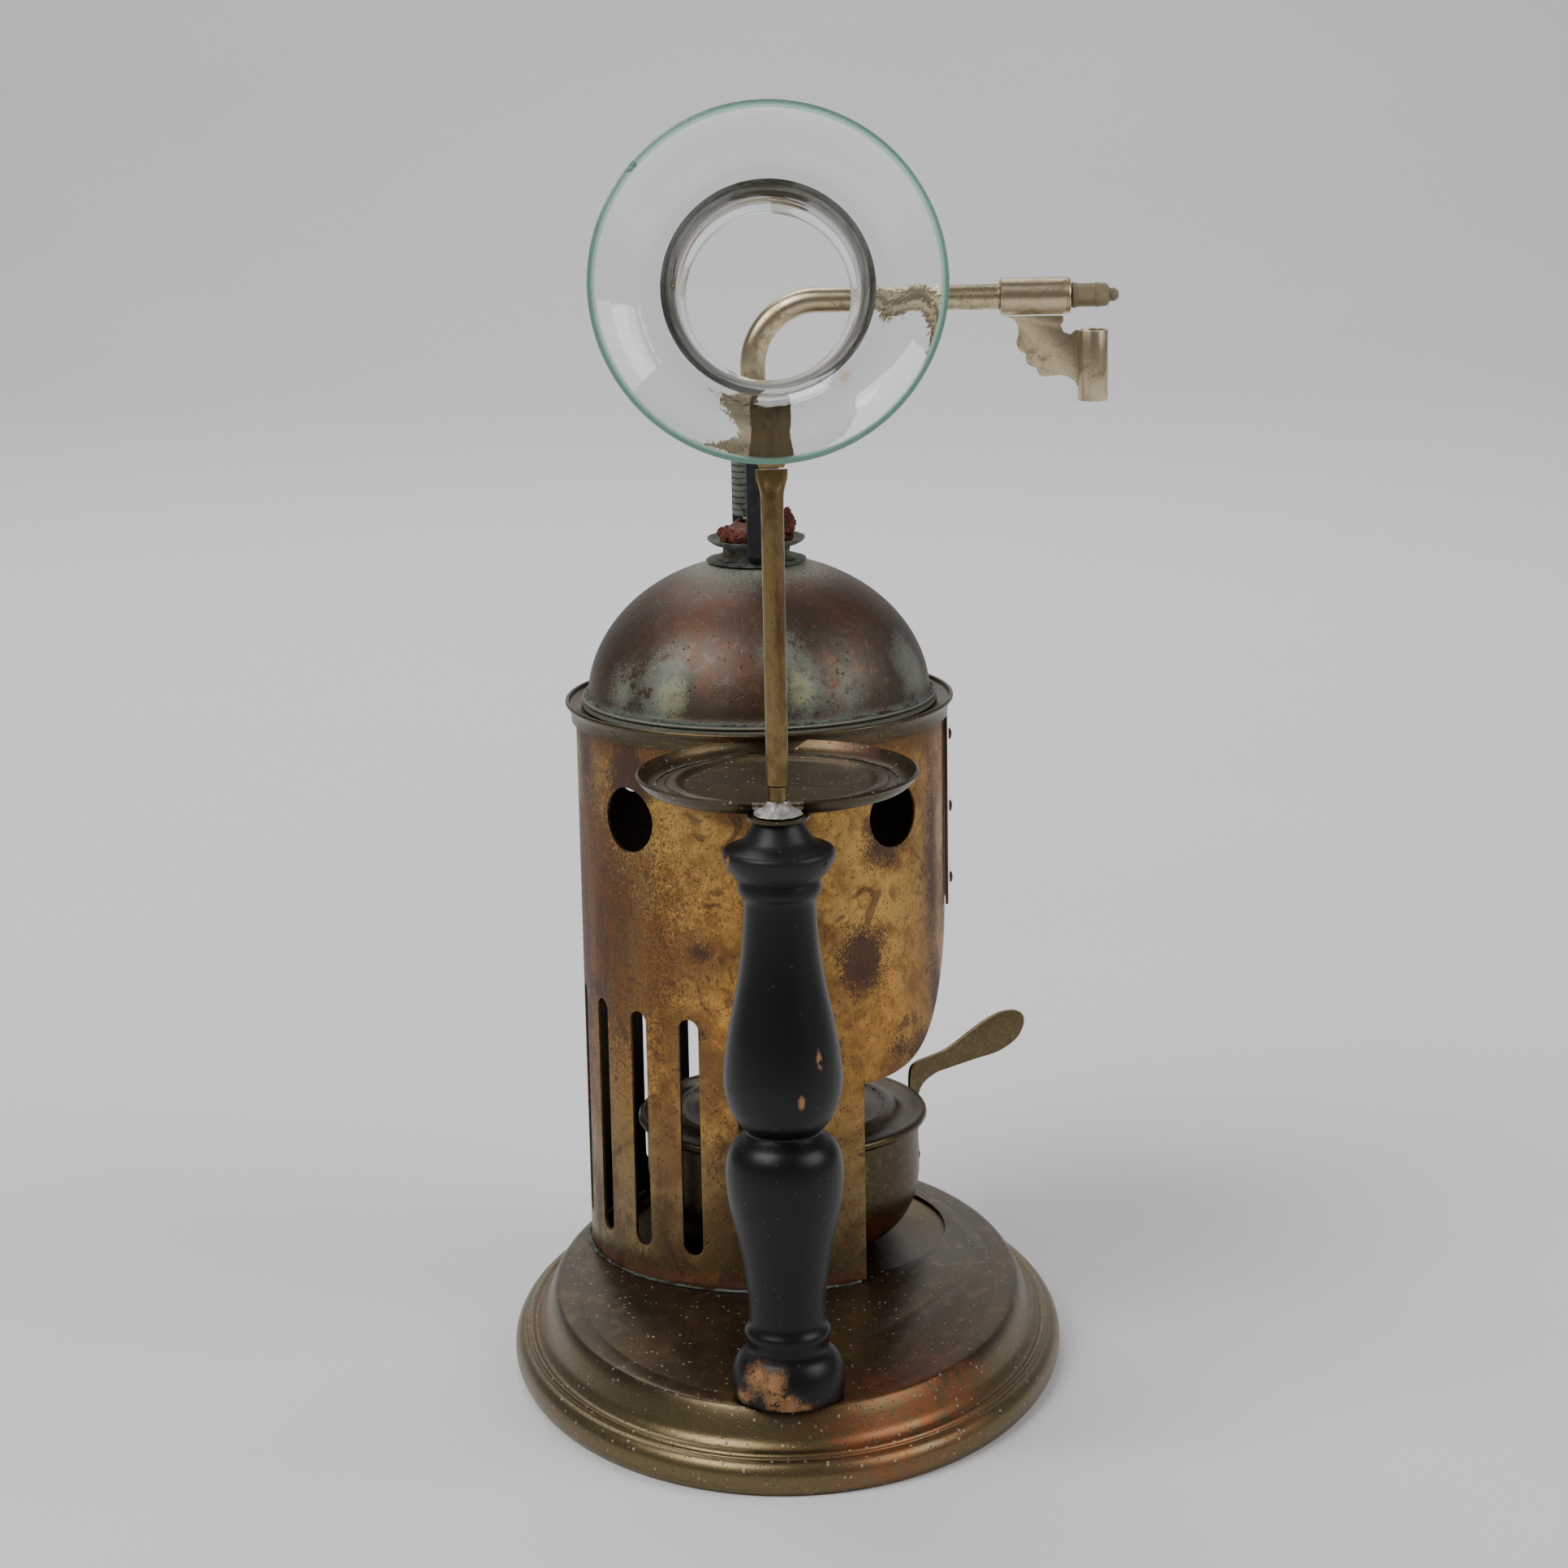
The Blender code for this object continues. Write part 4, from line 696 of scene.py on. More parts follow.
def look_tarnish(colours, name, copper=None, dust=0.4, gleam=0.35, bare_tint=(0.36, 0.085, 0.028),
                 slope=None):
    """Dark olive-brown brass with dust, pits, gold rubbed through, lighter slopes (partly wear, partly
    painted sheen) and copper showing at given spots.
    """
    look, paint, shader = new_look(name)
    here = paint.coords()
    patches = paint.blotches(42.0, 0.5)
    small = paint.blotches(150.0, 0.36, (1, 4, 2))
    specks = paint.specks(900.0, 0.22)
    pits = paint.specks(1200.0, 0.4, (2, 5, 1))
    base = paint.blend(patches["Mask"], tuple(colours.dark_brass), (0.105, 0.068, 0.032))
    base = paint.layer(base, small["Mask"], 0.5, (0.085, 0.036, 0.020))
    rubbed = paint.times(paint.band(paint.noise(24, 4, 0.5), 0.5, 0.7), gleam)
    if slope:
        # Lighter gold on the slopes below the given heights: partly wear, partly painted sheen.
        worn = paint.band(paint.axis(here, "Z"), slope[1], slope[0])
        worn = paint.times(worn, paint.band(paint.noise(90, 7, 0.7), 0.30, 0.58, 0.35, 0.85))
        rubbed = paint.most(rubbed, worn)
    base = paint.blend(rubbed, base, (0.205, 0.155, 0.075))
    base = paint.layer(base, pits["Fine"], 0.22, (0.16, 0.17, 0.11))
    if copper:
        bare = paint.any_of(paint.near(here, spot, reach * 0.72, stretch, 16 * MM, reach * 1e4) for spot,
                            reach, stretch in copper)
        bare = paint.ragged(bare, 240, 2.2)
        bare = paint.times(bare, paint.band(paint.noise(420, 7, 0.75), 0.36, 0.48, 0.35, 0.8))
        base = paint.blend(bare, base, bare_tint)
    base = paint.layer(base, pits["Mask"], 0.75, (0.04, 0.035, 0.025))
    lint = paint.times(specks["Mask"], dust)
    base = paint.blend(lint, base, (0.50, 0.49, 0.40))
    rough = paint.plus(0.24, paint.times(patches["Height"], 0.22))
    if copper:
        rough = paint.plus(rough, paint.times(bare, 0.12))
    rough = paint.plus(rough, paint.times(lint, 0.4))
    metal = paint.minus(0.92, paint.times(lint, 0.9))
    relief = paint.plus(patches["Height"], paint.minus(specks["Mask"], pits["Mask"]))
    wrap_up(paint, shader, base, rough, metal, relief, 0.12 * MM, 0.4)
    return look


def dome_spot(angle, level):
    """A point on the dome, by angle from the front in degrees and height above its foot in mm."""
    turn = radians(angle)
    out = BOILER_RADIUS * sqrt(1 - (level * MM / DOME_HEIGHT) ** 2)
    return (CHIMNEY.x + out * sin(turn), CHIMNEY.y - out * cos(turn), DOME_FOOT + level * MM)


def look_boiler(colours):
    """Dark copper with red-brown runs, grey-green and gold patches, and limescale at neck and foot."""
    look, paint, shader = new_look("dark_copper_boiler")
    here = paint.coords()
    height = paint.axis(here, "Z")
    patches = paint.blotches(50.0, 0.5)
    small = paint.blotches(150.0, 0.45, (5, 2, 2))
    grit = paint.blotches(480.0, 0.42, (2, 2, 9))
    specks = paint.specks(900.0, 0.35)
    streaks = paint.streaks(75.0)
    base = paint.blend(patches["Mask"], tuple(colours.copper), (0.062, 0.068, 0.056))
    base = paint.layer(base, streaks["Runs"], 0.6, (0.125, 0.052, 0.026))
    base = paint.layer(base, small["Mask"], 0.7, (0.105, 0.082, 0.052))
    ring = paint.near(paint.coords((0, 0, 1)), (0, 0, DOME_FOOT + 22.5 * MM), 4.5 * MM, (1, 1, 1), 12 * MM,
                      12)
    ring = paint.ragged(ring, 130, 1.6, 3.0)
    base = paint.layer(base, ring, 0.42, (0.13, 0.052, 0.028))
    base = paint.layer(base, grit["Mask"], 0.45, (0.16, 0.145, 0.105))
    spots = ((-36, 6.5, 5.0), (17, 7.5, 4.6), (66, 8, 5.5), (-33, 12.5, 3.4), (10, 15, 4.4), (-52, 6, 3.6),
             (30, 6, 3.2))
    pale = paint.any_of(paint.near(here, dome_spot(angle, level), reach * MM, (1, 1, 0.75), 9 * MM, angle
                                   + 80) for angle, level, reach in spots)
    pale = paint.ragged(pale, 230, 1.7, 5.0)
    base = paint.layer(base, pale, 0.55, (0.20, 0.235, 0.185))
    core = paint.most(paint.near(here, dome_spot(-30, 6), 3.4 * MM, (1, 1, 0.8), 4 * MM, 31),
                      paint.near(here, dome_spot(14, 8), 3.6 * MM, (1, 1, 0.8), 4 * MM, 37))
    core = paint.ragged(core, 330, 1.5, 7.0)
    base = paint.layer(base, core, 0.6, (0.34, 0.35, 0.20))
    heart = paint.most(paint.near(here, dome_spot(-30, 6), 1.1 * MM, (1, 1, 1), 0.8 * MM, 3),
                       paint.near(here, dome_spot(14, 8), 1.1 * MM, (1, 1, 1), 0.8 * MM, 5))
    base = paint.layer(base, heart, 0.5, (0.20, 0.14, 0.09))
    base = paint.layer(base, small["Islands"], 0.5, (0.16, 0.075, 0.05))
    ragged = paint.times(paint.noise(300, 8, 0.8), 26 * MM)
    crown = paint.band(paint.minus(height, ragged), DOME_FOOT + 13.5 * MM, DOME_FOOT + 16.5 * MM)
    low = paint.band(paint.plus(height, paint.times(ragged, 0.2)), DOME_FOOT + 4.8 * MM, DOME_FOOT
                     + 3.0 * MM)
    scale = paint.most(crown, paint.times(low, 0.55))
    scale = paint.times(scale, paint.band(paint.noise(620, 6, 0.8), 0.40, 0.56, 0.25, 1.0))
    base = paint.layer(base, scale, 0.9, (0.46, 0.49, 0.41))
    base = paint.layer(base, specks["Mask"], 0.7, (0.05, 0.035, 0.025))
    rough = paint.plus(paint.plus(0.34, paint.times(patches["Height"], 0.26)), paint.times(scale, 0.4))
    metal = paint.minus(0.86, paint.times(paint.most(scale, pale), 0.75))
    relief = paint.plus(paint.times(scale, paint.noise(900, 4, 0.7)),
                        paint.minus(patches["Height"], specks["Mask"]))
    wrap_up(paint, shader, base, rough, metal, relief, 0.2 * MM, 0.45)
    return look


def look_scaled(colours, name, cover, under):
    """Metal under a grainy crust of pale green-white scale."""
    look, paint, shader = new_look(name)
    crust = paint.blotches(260.0, cover)
    grains = paint.band(paint.noise(2600, 4, 0.8), 0.42, 0.60)
    mask = paint.times(crust["Mask"], paint.plus(0.35, paint.times(grains, 0.65)))
    specks = paint.specks(2400.0, 0.6)
    tint = paint.blend(paint.band(paint.noise(420, 4, 0.6), 0.42, 0.60), tuple(colours.verdigris),
                       (0.22, 0.36, 0.33))
    base = paint.blend(mask, under, tint)
    base = paint.layer(base, specks["Mask"], 0.9, (0.035, 0.028, 0.020))
    rough = paint.plus(0.38, paint.times(mask, 0.45))
    metal = paint.minus(0.9, paint.times(mask, 0.85))
    relief = paint.plus(paint.times(mask, 1.2), paint.noise(1500, 5, 0.75))
    wrap_up(paint, shader, base, rough, metal, relief, 0.28 * MM, 0.8)
    return look


def look_nickel(colours):
    """Dull nickel with brown speckle and warm wear."""
    look, paint, shader = new_look("dull_nickel")
    patches = paint.blotches(210.0, 0.42)
    specks = paint.specks(2100.0, 0.5)
    base = paint.blend(paint.times(patches["Mask"], 0.7), tuple(colours.nickel), (0.185, 0.130, 0.062))
    base = paint.layer(base, specks["Mask"], 0.85, (0.05, 0.036, 0.018))
    base = paint.layer(base, specks["Fine"], 0.4, (0.21, 0.165, 0.10))
    rough = paint.plus(0.20, paint.times(patches["Mask"], 0.2))
    relief = paint.minus(paint.noise(1700, 4, 0.7), specks["Mask"])
    wrap_up(paint, shader, base, rough, 0.97, relief, 0.06 * MM, 0.35)
    return look


def look_rod(colours):
    """Olive brass drawn rod with upright wear and dark stains."""
    look, paint, shader = new_look("aged_brass_rod")
    patches = paint.blotches(190.0, 0.5, scale=(1, 1, 0.35))
    streaks = paint.streaks(260.0)
    specks = paint.specks(1500.0, 0.35)
    base = paint.blend(patches["Mask"], (0.225, 0.155, 0.062), (0.115, 0.072, 0.030))
    base = paint.layer(base, streaks["Runs"], 0.35, (0.30, 0.22, 0.10))
    base = paint.layer(base, specks["Mask"], 0.8, tuple(colours.heat_stain))
    rough = paint.plus(0.3, paint.times(patches["Mask"], 0.16))
    wrap_up(paint, shader, base, rough, 0.95, paint.minus(streaks["Scratches"], specks["Mask"]), 0.05 * MM,
            0.35)
    return look


def look_black_wood(_colours):
    """Satin black lacquer on turned wood, chipped to tan wood at the foot and rubbed on the upper bulb."""
    look, paint, shader = new_look("black_wood")
    here = paint.coords()
    fine = paint.specks(1100.0, 0.06)
    spots = ((-7.0, -9.2, 23.5, 2.6, 0.8), (-3.2, -11.0, 22.0, 2.2, 0.7), (-1.5, -11.4, 17.8, 3.4, 1.5),
             (3.6, -11.2, 80.0, 0.8, 0.45), (7.0, -8.6, 88.0, 0.7, 0.35), (-9.6, -4.0, 127.0, 1.0, 0.8),
             (3.0, -10.6, 17.0, 1.4, 2.0), (-8.8, -7.0, 18.2, 2.0, 1.4))
    chipped = paint.any_of(paint.near(here, (COLUMN.x + x * MM, COLUMN.y + y * MM, z * MM), reach * MM,
                                      (1, 1, tall), 4.5 * MM if z < 30 else 0.8 * MM, 90 + 17 * i) for i,
                           (x, y, z, reach, tall) in enumerate(spots))
    chipped = paint.ragged(chipped, 330, 1.6)
    grain = paint.noise(900, 5, 0.65, paint.coords((1, 1, 0.16)))
    wood = paint.blend(grain, (0.46, 0.24, 0.10), (0.24, 0.11, 0.045))
    worn = paint.band(paint.noise(140, 6, 0.7), 0.55, 0.8)
    high = paint.band(paint.axis(here, "Z"), 118 * MM, 124 * MM)
    black = paint.blend(paint.times(worn, 0.4), (0.0035, 0.0035, 0.0040), (0.010, 0.010, 0.011))
    dusty = paint.times(high, paint.band(paint.noise(520, 6, 0.75), 0.45, 0.7))
    black = paint.blend(paint.times(dusty, 0.35), black, (0.085, 0.090, 0.085))
    black = paint.blend(paint.times(fine["Mask"], 0.35), black, (0.14, 0.135, 0.12))
    base = paint.blend(chipped, black, wood)
    rough = paint.plus(paint.plus(0.36, paint.times(worn, 0.12)),
                       paint.times(paint.most(chipped, dusty), 0.4))
    turned_lines = paint.noise(700, 3, 0.5, paint.coords((0.04, 0.04, 1)))
    relief = paint.minus(paint.times(turned_lines, 0.35), paint.times(chipped, 1.6))
    wrap_up(paint, shader, base, rough, 0.0, relief, 0.12 * MM, 0.5)
    shader.inputs["Specular IOR Level"].default_value = 0.28
    return look


def look_plain(name, colour, other, roughness, metallic, size, relief):
    """Two-tone grained finish for small pieces."""
    look, paint, shader = new_look(name)
    patches = paint.blotches(size, 0.5)
    specks = paint.specks(size * 4, 0.4)
    base = paint.blend(patches["Mask"], colour, other)
    base = paint.layer(base, specks["Mask"], 0.5, tuple(c * 0.3 for c in colour))
    rough = paint.plus(roughness, paint.times(patches["Height"], 0.12))
    wrap_up(paint, shader, base, rough, metallic, patches["Height"], relief * MM, 0.5)
    return look


def look_glass(_colours):
    """Clear glass with smears, orange specks and a little bloom."""
    look, paint, shader = new_look("clear_glass")
    here = paint.coords()
    smear = paint.band(paint.noise(70, 7, 0.75, paint.coords((1, 1, 0.5))), 0.55, 0.85)
    colour = paint.blend(paint.band(paint.noise(300, 5, 0.6), 0.3, 0.7), (0.965, 0.985, 0.972),
                         (0.985, 0.995, 0.99))
    spots = paint.any_of(paint.near(here, tuple(FUNNEL_MOUTH + Vector((x * MM, 4 * MM, z * MM))), 1.3 * MM,
                                    (1, 0.3, 0.7), 1.6 * MM, x) for x, z in ((19.5, 27.0), (13.6, -17.5)))
    colour = paint.blend(paint.times(spots, 0.9), colour, (0.85, 0.42, 0.12))
    wrap_up(paint, shader, colour, paint.plus(0.015, paint.times(smear, 0.05)), 0.0,
            paint.noise(45, 2, 0.5), 0.05 * MM, 0.25)
    shader.inputs["Transmission Weight"].default_value = 1.0
    shader.inputs["IOR"].default_value = 1.48
    return look


def look_glass_edge(_colours):
    """Green ground edge of the funnel's mouth."""
    look, paint, shader = new_look("glass_edge")
    tint = paint.blend(paint.noise(220, 4, 0.6), (0.30, 0.62, 0.47), (0.46, 0.76, 0.62))
    wrap_up(paint, shader, tint, 0.18, 0.0, paint.noise(600, 3), 0.04 * MM, 0.3)
    shader.inputs["Transmission Weight"].default_value = 0.75
    shader.inputs["IOR"].default_value = 1.48
    return look


def look_grime_and_painted_band_reflection(_colours):
    """Dark film on the glass under and beside its band: partly dirt held against the glass, partly a painted
    reflection of the band seen through the glass.
    """
    look, paint, shader = new_look("grime_and_painted_band_reflection")
    brushed = paint.noise(90, 7, 0.75, paint.coords((1, 6, 1)))
    film = paint.blend(paint.band(brushed, 0.35, 0.65), (0.10, 0.09, 0.072), (0.36, 0.345, 0.29))
    wrap_up(paint, shader, film, 0.45, 0.2, brushed, 0.05 * MM, 0.3)
    return look


PLAIN = {  # colour, second colour, roughness, metallic, grain size and relief of each plain finish
    "stained_brass_handle": ((0.13, 0.095, 0.05), (0.18, 0.135, 0.07), 0.3, 0.9, 700.0, 0.1),
    "black_iron": ((0.010, 0.011, 0.013), (0.022, 0.023, 0.026), 0.5, 0.3, 700.0, 0.1),
    "steel": ((0.34, 0.33, 0.32), (0.22, 0.20, 0.18), 0.3, 0.95, 700.0, 0.1),
    "crusted_cork": ((0.115, 0.045, 0.030), (0.24, 0.17, 0.13), 0.8, 0.0, 420.0, 0.4),
    "rust_lump": ((0.095, 0.018, 0.010), (0.19, 0.05, 0.026), 0.75, 0.0, 600.0, 0.4),
    "solder": ((0.38, 0.37, 0.34), (0.20, 0.18, 0.155), 0.45, 0.6, 500.0, 0.15),
    "cotton_wick": ((0.50, 0.44, 0.34), (0.08, 0.07, 0.06), 0.9, 0.0, 500.0, 0.5),
}
SCALED = {  # how much scale covers it, and the metal below
    "pale_bronze_neck": (0.66, (0.12, 0.085, 0.05)),
    "corroded_spring": (0.75, (0.10, 0.075, 0.05)),
    "limescale_crust": (0.62, (0.07, 0.05, 0.035)),
    "pale_bronze_nozzle": (0.20, (0.30, 0.245, 0.15)),
    "pale_bronze_wick_tube": (0.3, (0.12, 0.09, 0.055)),
}
RIGHT = BASE.x + BASE_HALF.x
TARNISHED = {  # settings; copper shows at each (place, reach, stretch)
    "aged_brass_rim": {"dust": 0.1, "gleam": 0.4},
    # Its slopes get lighter gold: partly wear, partly painted sheen.
    "stained_brass_base": {"dust": 0.6, "gleam": 0.42, "slope": (13 * MM, 15.4 * MM), "copper": (
        ((RIGHT - 37 * MM, BASE.y - 65 * MM, 9 * MM), 7.5 * MM, (0.55, 0.75, 0.9)),
        ((RIGHT - 27 * MM, BASE.y - 52 * MM, 10 * MM), 6.0 * MM, (0.8, 0.5, 0.9)),
        ((RIGHT - 49 * MM, BASE.y - 73 * MM, 8 * MM), 5.5 * MM, (0.6, 1.0, 1.0)),
        ((RIGHT - 44 * MM, BASE.y - 77 * MM, 4 * MM), 5.0 * MM, (0.45, 1.0, 1.0)),
        ((BASE.x - BASE_HALF.x + 10 * MM, BASE.y - 5 * MM, 5 * MM), 5 * MM, (1.0, 0.5, 1.0)))},
    "stained_brass_tray": {"dust": 0.4, "gleam": 0.3, "bare_tint": (0.115, 0.052, 0.042), "copper": (
        ((TRAY.x + 17 * MM, TRAY.y + 20 * MM, TRAY_LIP), 9 * MM, (1.0, 1.0, 1.0)),)},
    "stained_brass_lamp": {"dust": 0.15, "gleam": 0.3, "copper": (
        ((LAMP.x + 20 * MM, LAMP.y - 20 * MM, LAMP_FOOT + 6 * MM), 7 * MM, (0.8, 0.8, 1.2)),)},
}
OTHERS = {"aged_brass_chimney": look_chimney, "dark_copper_boiler": look_boiler,
          "dull_nickel": look_nickel, "aged_brass_rod": look_rod, "black_wood": look_black_wood,
          "clear_glass": look_glass, "glass_edge": look_glass_edge, "grime_and_painted_band_reflection": look_grime_and_painted_band_reflection}


looks = {}


def make_look(name):
    """Build a finish from its table, or by its own function."""
    colours = bpy.context.scene.inhaler_colours
    if name in PLAIN:
        return look_plain(name, *PLAIN[name])
    if name in SCALED:
        return look_scaled(colours, name, *SCALED[name])
    if name in TARNISHED:
        return look_tarnish(colours, name, **TARNISHED[name])
    return OTHERS[name](colours)


def look(name):
    """A finish, made the first time it is asked for."""
    if name not in looks:
        looks[name] = make_look(name)
    return looks[name]


# Pieces


class INHALER_OT_base(bpy.types.Operator):
    """Oval pressed base with its beads, lamp seat and the crust round the chimney's foot"""
    bl_idname = "inhaler.base"
    bl_label = "Base"

    def execute(self, context):
        edge = [(10.4, 15.7), (9.4, 15.45), (8.7, 14.7), (7.9, 13.2), (7.1, 11.2), (6.3, 9.3), (5.2, 8.1),
                (4.3, 7.75)]
        beads = [(3.9, 7.95), (3.3, 8.0), (2.85, 7.6), (2.6, 7.05), (1.6, 6.75), (0.8, 6.0), (0.2, 4.8),
                 (0.0, 3.4), (0.15, 2.0), (0.6, 0.9), (1.3, 0.0)]
        face = [(14.0, 15.7)] + rounded(edge, 4) + rounded(beads, 4) + [(5.3, 0.0)]
        both = walled(face, -1.0)
        levels = [(BASE_WIDE - inset * MM, BASE_HALF.y - inset * MM, height * MM) for inset, height in both]
        plate = rings("base_pressing", BASE_CENTRE, levels + levels[:1], 160)
        deck_rim = levels[0]
        deck = rings("base_deck", BASE_CENTRE, [(deck_rim[0] - 0.02 * MM, deck_rim[1] - 0.02 * MM, DECK),
                                                (deck_rim[0] - 0.02 * MM, deck_rim[1] - 0.02 * MM,
                                                 DECK - 1.0 * MM)], 160, ends=True)
        cap_far_end(deck)
        seat = 36.5 * MM
        tool = solid("lamp_seat", LAMP, [(seat - 1.3 * MM, DECK - 1.3 * MM),
                                         (seat - 0.6 * MM, DECK - 0.9 * MM), (seat, DECK + 1 * MM)], 128)
        pan = solid("lamp_seat_pan", LAMP, [(seat + 0.9 * MM, DECK - 0.4 * MM),
                                            (seat + 0.6 * MM, DECK - 2.3 * MM)], 128)
        cut(deck, pan, "UNION")
        cut(deck, tool)
        hole = solid("screw_hole", COLUMN, [(2.3 * MM, DECK - 5 * MM), (2.3 * MM, DECK + 5 * MM)], 32)
        cut(deck, hole)
        ease(deck, 0.35 * MM, 3)
        done(plate, "stand", "stained_brass", look("stained_brass_base"), "base_plate")
        done(deck, "stand", "stained_brass", look("stained_brass_base"))
        crust_ring("chimney_foot_crust", CHIMNEY, CHIMNEY_RADIUS + 0.25 * MM, DECK + 0.05 * MM, 0.9 * MM,
                   0.55 * MM, "stand", (30, 153))
        return {"FINISHED"}


class INHALER_OT_column(bpy.types.Operator):
    """Turned wooden column with its stub, solder and fixing"""
    bl_idname = "inhaler.column"
    bl_label = "Column"

    def execute(self, context):
        lower = [(10.6, 16.0), (11.25, 16.6), (11.56, 19.0), (11.2, 21.5), (10.5, 23.4), (9.5, 24.9),
                 (8.35, 25.7)]
        beads = [(8.1, 26.6), (8.3, 27.6), (8.62, 28.7), (8.6, 29.7), (8.1, 30.6)]
        vase = [(7.7, 31.4), (7.6, 33.0), (7.7, 36.0), (8.08, 39.4), (8.6, 43.7), (9.35, 47.9),
                (10.4, 52.5), (11.2, 56.4), (11.6, 60.0), (11.71, 63.2), (11.2, 66.6), (9.9, 69.0),
                (8.2, 70.4), (7.5, 71.1)]
        bulb = [(7.5, 71.5), (8.1, 72.2), (9.6, 74.0), (10.86, 76.6), (11.6, 79.8), (11.8, 82.6),
                (11.46, 86.7), (10.8, 91.0), (10.0, 95.0), (9.2, 99.0), (8.39, 103.2), (7.8, 107.5),
                (7.42, 111.4), (7.15, 115.5), (7.1, 118.2)]
        collar = [(7.5, 119.2), (8.1, 119.9), (8.3, 120.9), (8.1, 121.9)]
        cap = [(7.95, 122.5), (8.7, 123.2), (9.9, 124.6), (10.7, 126.1), (11.0, 127.5), (10.6, 128.5),
               (9.6, 129.0)]
        crown = [(8.2, 129.4), (7.0, 130.3), (6.2, 131.4), (5.5, 132.6), (5.1, 133.4)]
        outside = []
        for run in (lower, beads, vase, bulb, collar, cap, crown):
            outside += rounded(run, 3)
        profile = [(2.3, 16.0)] + [(10.3, 16.0)] + outside + [(4.8, COLUMN_TOP / MM), (2.15, COLUMN_TOP / MM)]
        wood = lathe("column_turning", COLUMN, mm(profile), 128)
        ripple(wood, 0.10 * MM, 9 * MM, 1)
        for x, y, z, size in ((-7.4, -9.6, 23.2, 1.5), (-3.0, -11.9, 21.6, 1.3), (-1.0, -12.2, 17.0, 2.2),
                              (-10.4, -4.4, 127.6, 1.3), (9.6, -6.6, 126.8, 1.0), (3.6, -11.9, 80.0, 0.7)):
            chip = lump("column_chip", (COLUMN.x + x * MM, COLUMN.y + y * MM, z * MM), size, (1.2, 0.8, 1.0))
            ripple(chip, 0.9 * MM, 1.2 * MM)
            cut(wood, chip)
        done(wood, "stand", "black_wood", look("black_wood"), "column")

        stub_top = top("rod_stub")
        shown = foot("support_rod") - GAP
        stub = solid("rod_stub_turning", COLUMN, [(1.85 * MM, COLUMN_TOP - 12 * MM), (1.85 * MM, shown),
                                                  (1.37 * MM, shown + 0.1 * MM),
                                                  (1.37 * MM, stub_top - 0.5 * MM), (0.9 * MM, stub_top)],
                     48)
        done(stub, "stand", "aged_brass", look("aged_brass_rod"), "rod_stub")
        blob = [(1.9, 0.05), (4.6, 0.05), (5.0, 0.3), (4.4, 0.75), (3.1, 1.1), (2.5, 2.0), (2.2, 3.0),
                (1.9, 3.2)]
        solder = lathe("stub_solder", COLUMN, mm(blob, up=TRAY_FLOOR), 64)
        apply(solder, "SUBSURF", levels=1, render_levels=1)
        ripple(solder, 0.7 * MM, 1.8 * MM)
        done(solder, "stand", "aged_brass", look("solder"), angle=60)
        for node in ("column_screw", "column_washer"):
            paint_node(node, "steel")
        return {"FINISHED"}


class INHALER_OT_tray(bpy.types.Operator):
    """Drip tray with its raised ring, rolled lip and the notch at the rod"""
    bl_idname = "inhaler.tray"
    bl_label = "Drip tray"

    def execute(self, context):
        low = TRAY_FLOOR
        run = rounded([(18.6, 0.0), (19.3, 0.25), (20.2, 0.75), (21.1, 0.85), (22.0, 0.7), (22.8, 0.15),
                       (23.6, 0.0)], 4)
        wall = rounded([(25.0, 0.0), (26.0, 0.3), (26.9, 1.1), (27.5, 2.0), (27.9, 2.55)], 4)
        face = [(4.0, 0.0)] + run + wall
        both = mm(walled(face, 0.7), up=low)
        dish = lathe("tray_pressing", TRAY, both, 160)
        floor = solid("tray_floor", TRAY, [(4.1 * MM, low), (4.1 * MM, low - 0.7 * MM)], 160)
        cut(dish, floor, "UNION")
        start()
        bpy.ops.mesh.primitive_cube_add(size=1, location=(COLUMN.x, COLUMN.y, low + 5 * MM))
        notch = context.object
        notch.scale = (10 * MM, 10 * MM, 10 * MM)
        place_now(notch)
        ease(notch, 1.5 * MM, 4)
        cut(dish, notch)
        tongue = solid("tray_tongue", COLUMN, [(6 * MM, low - 0.05 * MM), (6 * MM, low - 0.65 * MM)], 64)
        cut(dish, tongue, "UNION")
        for where, radius in ((CHIMNEY, CHIMNEY_RADIUS + 2.74 * MM), (COLUMN, 2.15 * MM)):
            tool = solid("tray_cut", where, [(radius, low - 6 * MM), (radius, low + 6 * MM)], 192)
            cut(dish, tool)
        ease(dish, 0.12 * MM, 2)
        done(dish, "stand", "stained_brass", look("stained_brass_tray"), "drip_tray")
        crust_ring("tray_crust", TRAY, 24.2 * MM, low + 0.02 * MM, 0.8 * MM, 0.35 * MM, "stand")
        return {"FINISHED"}


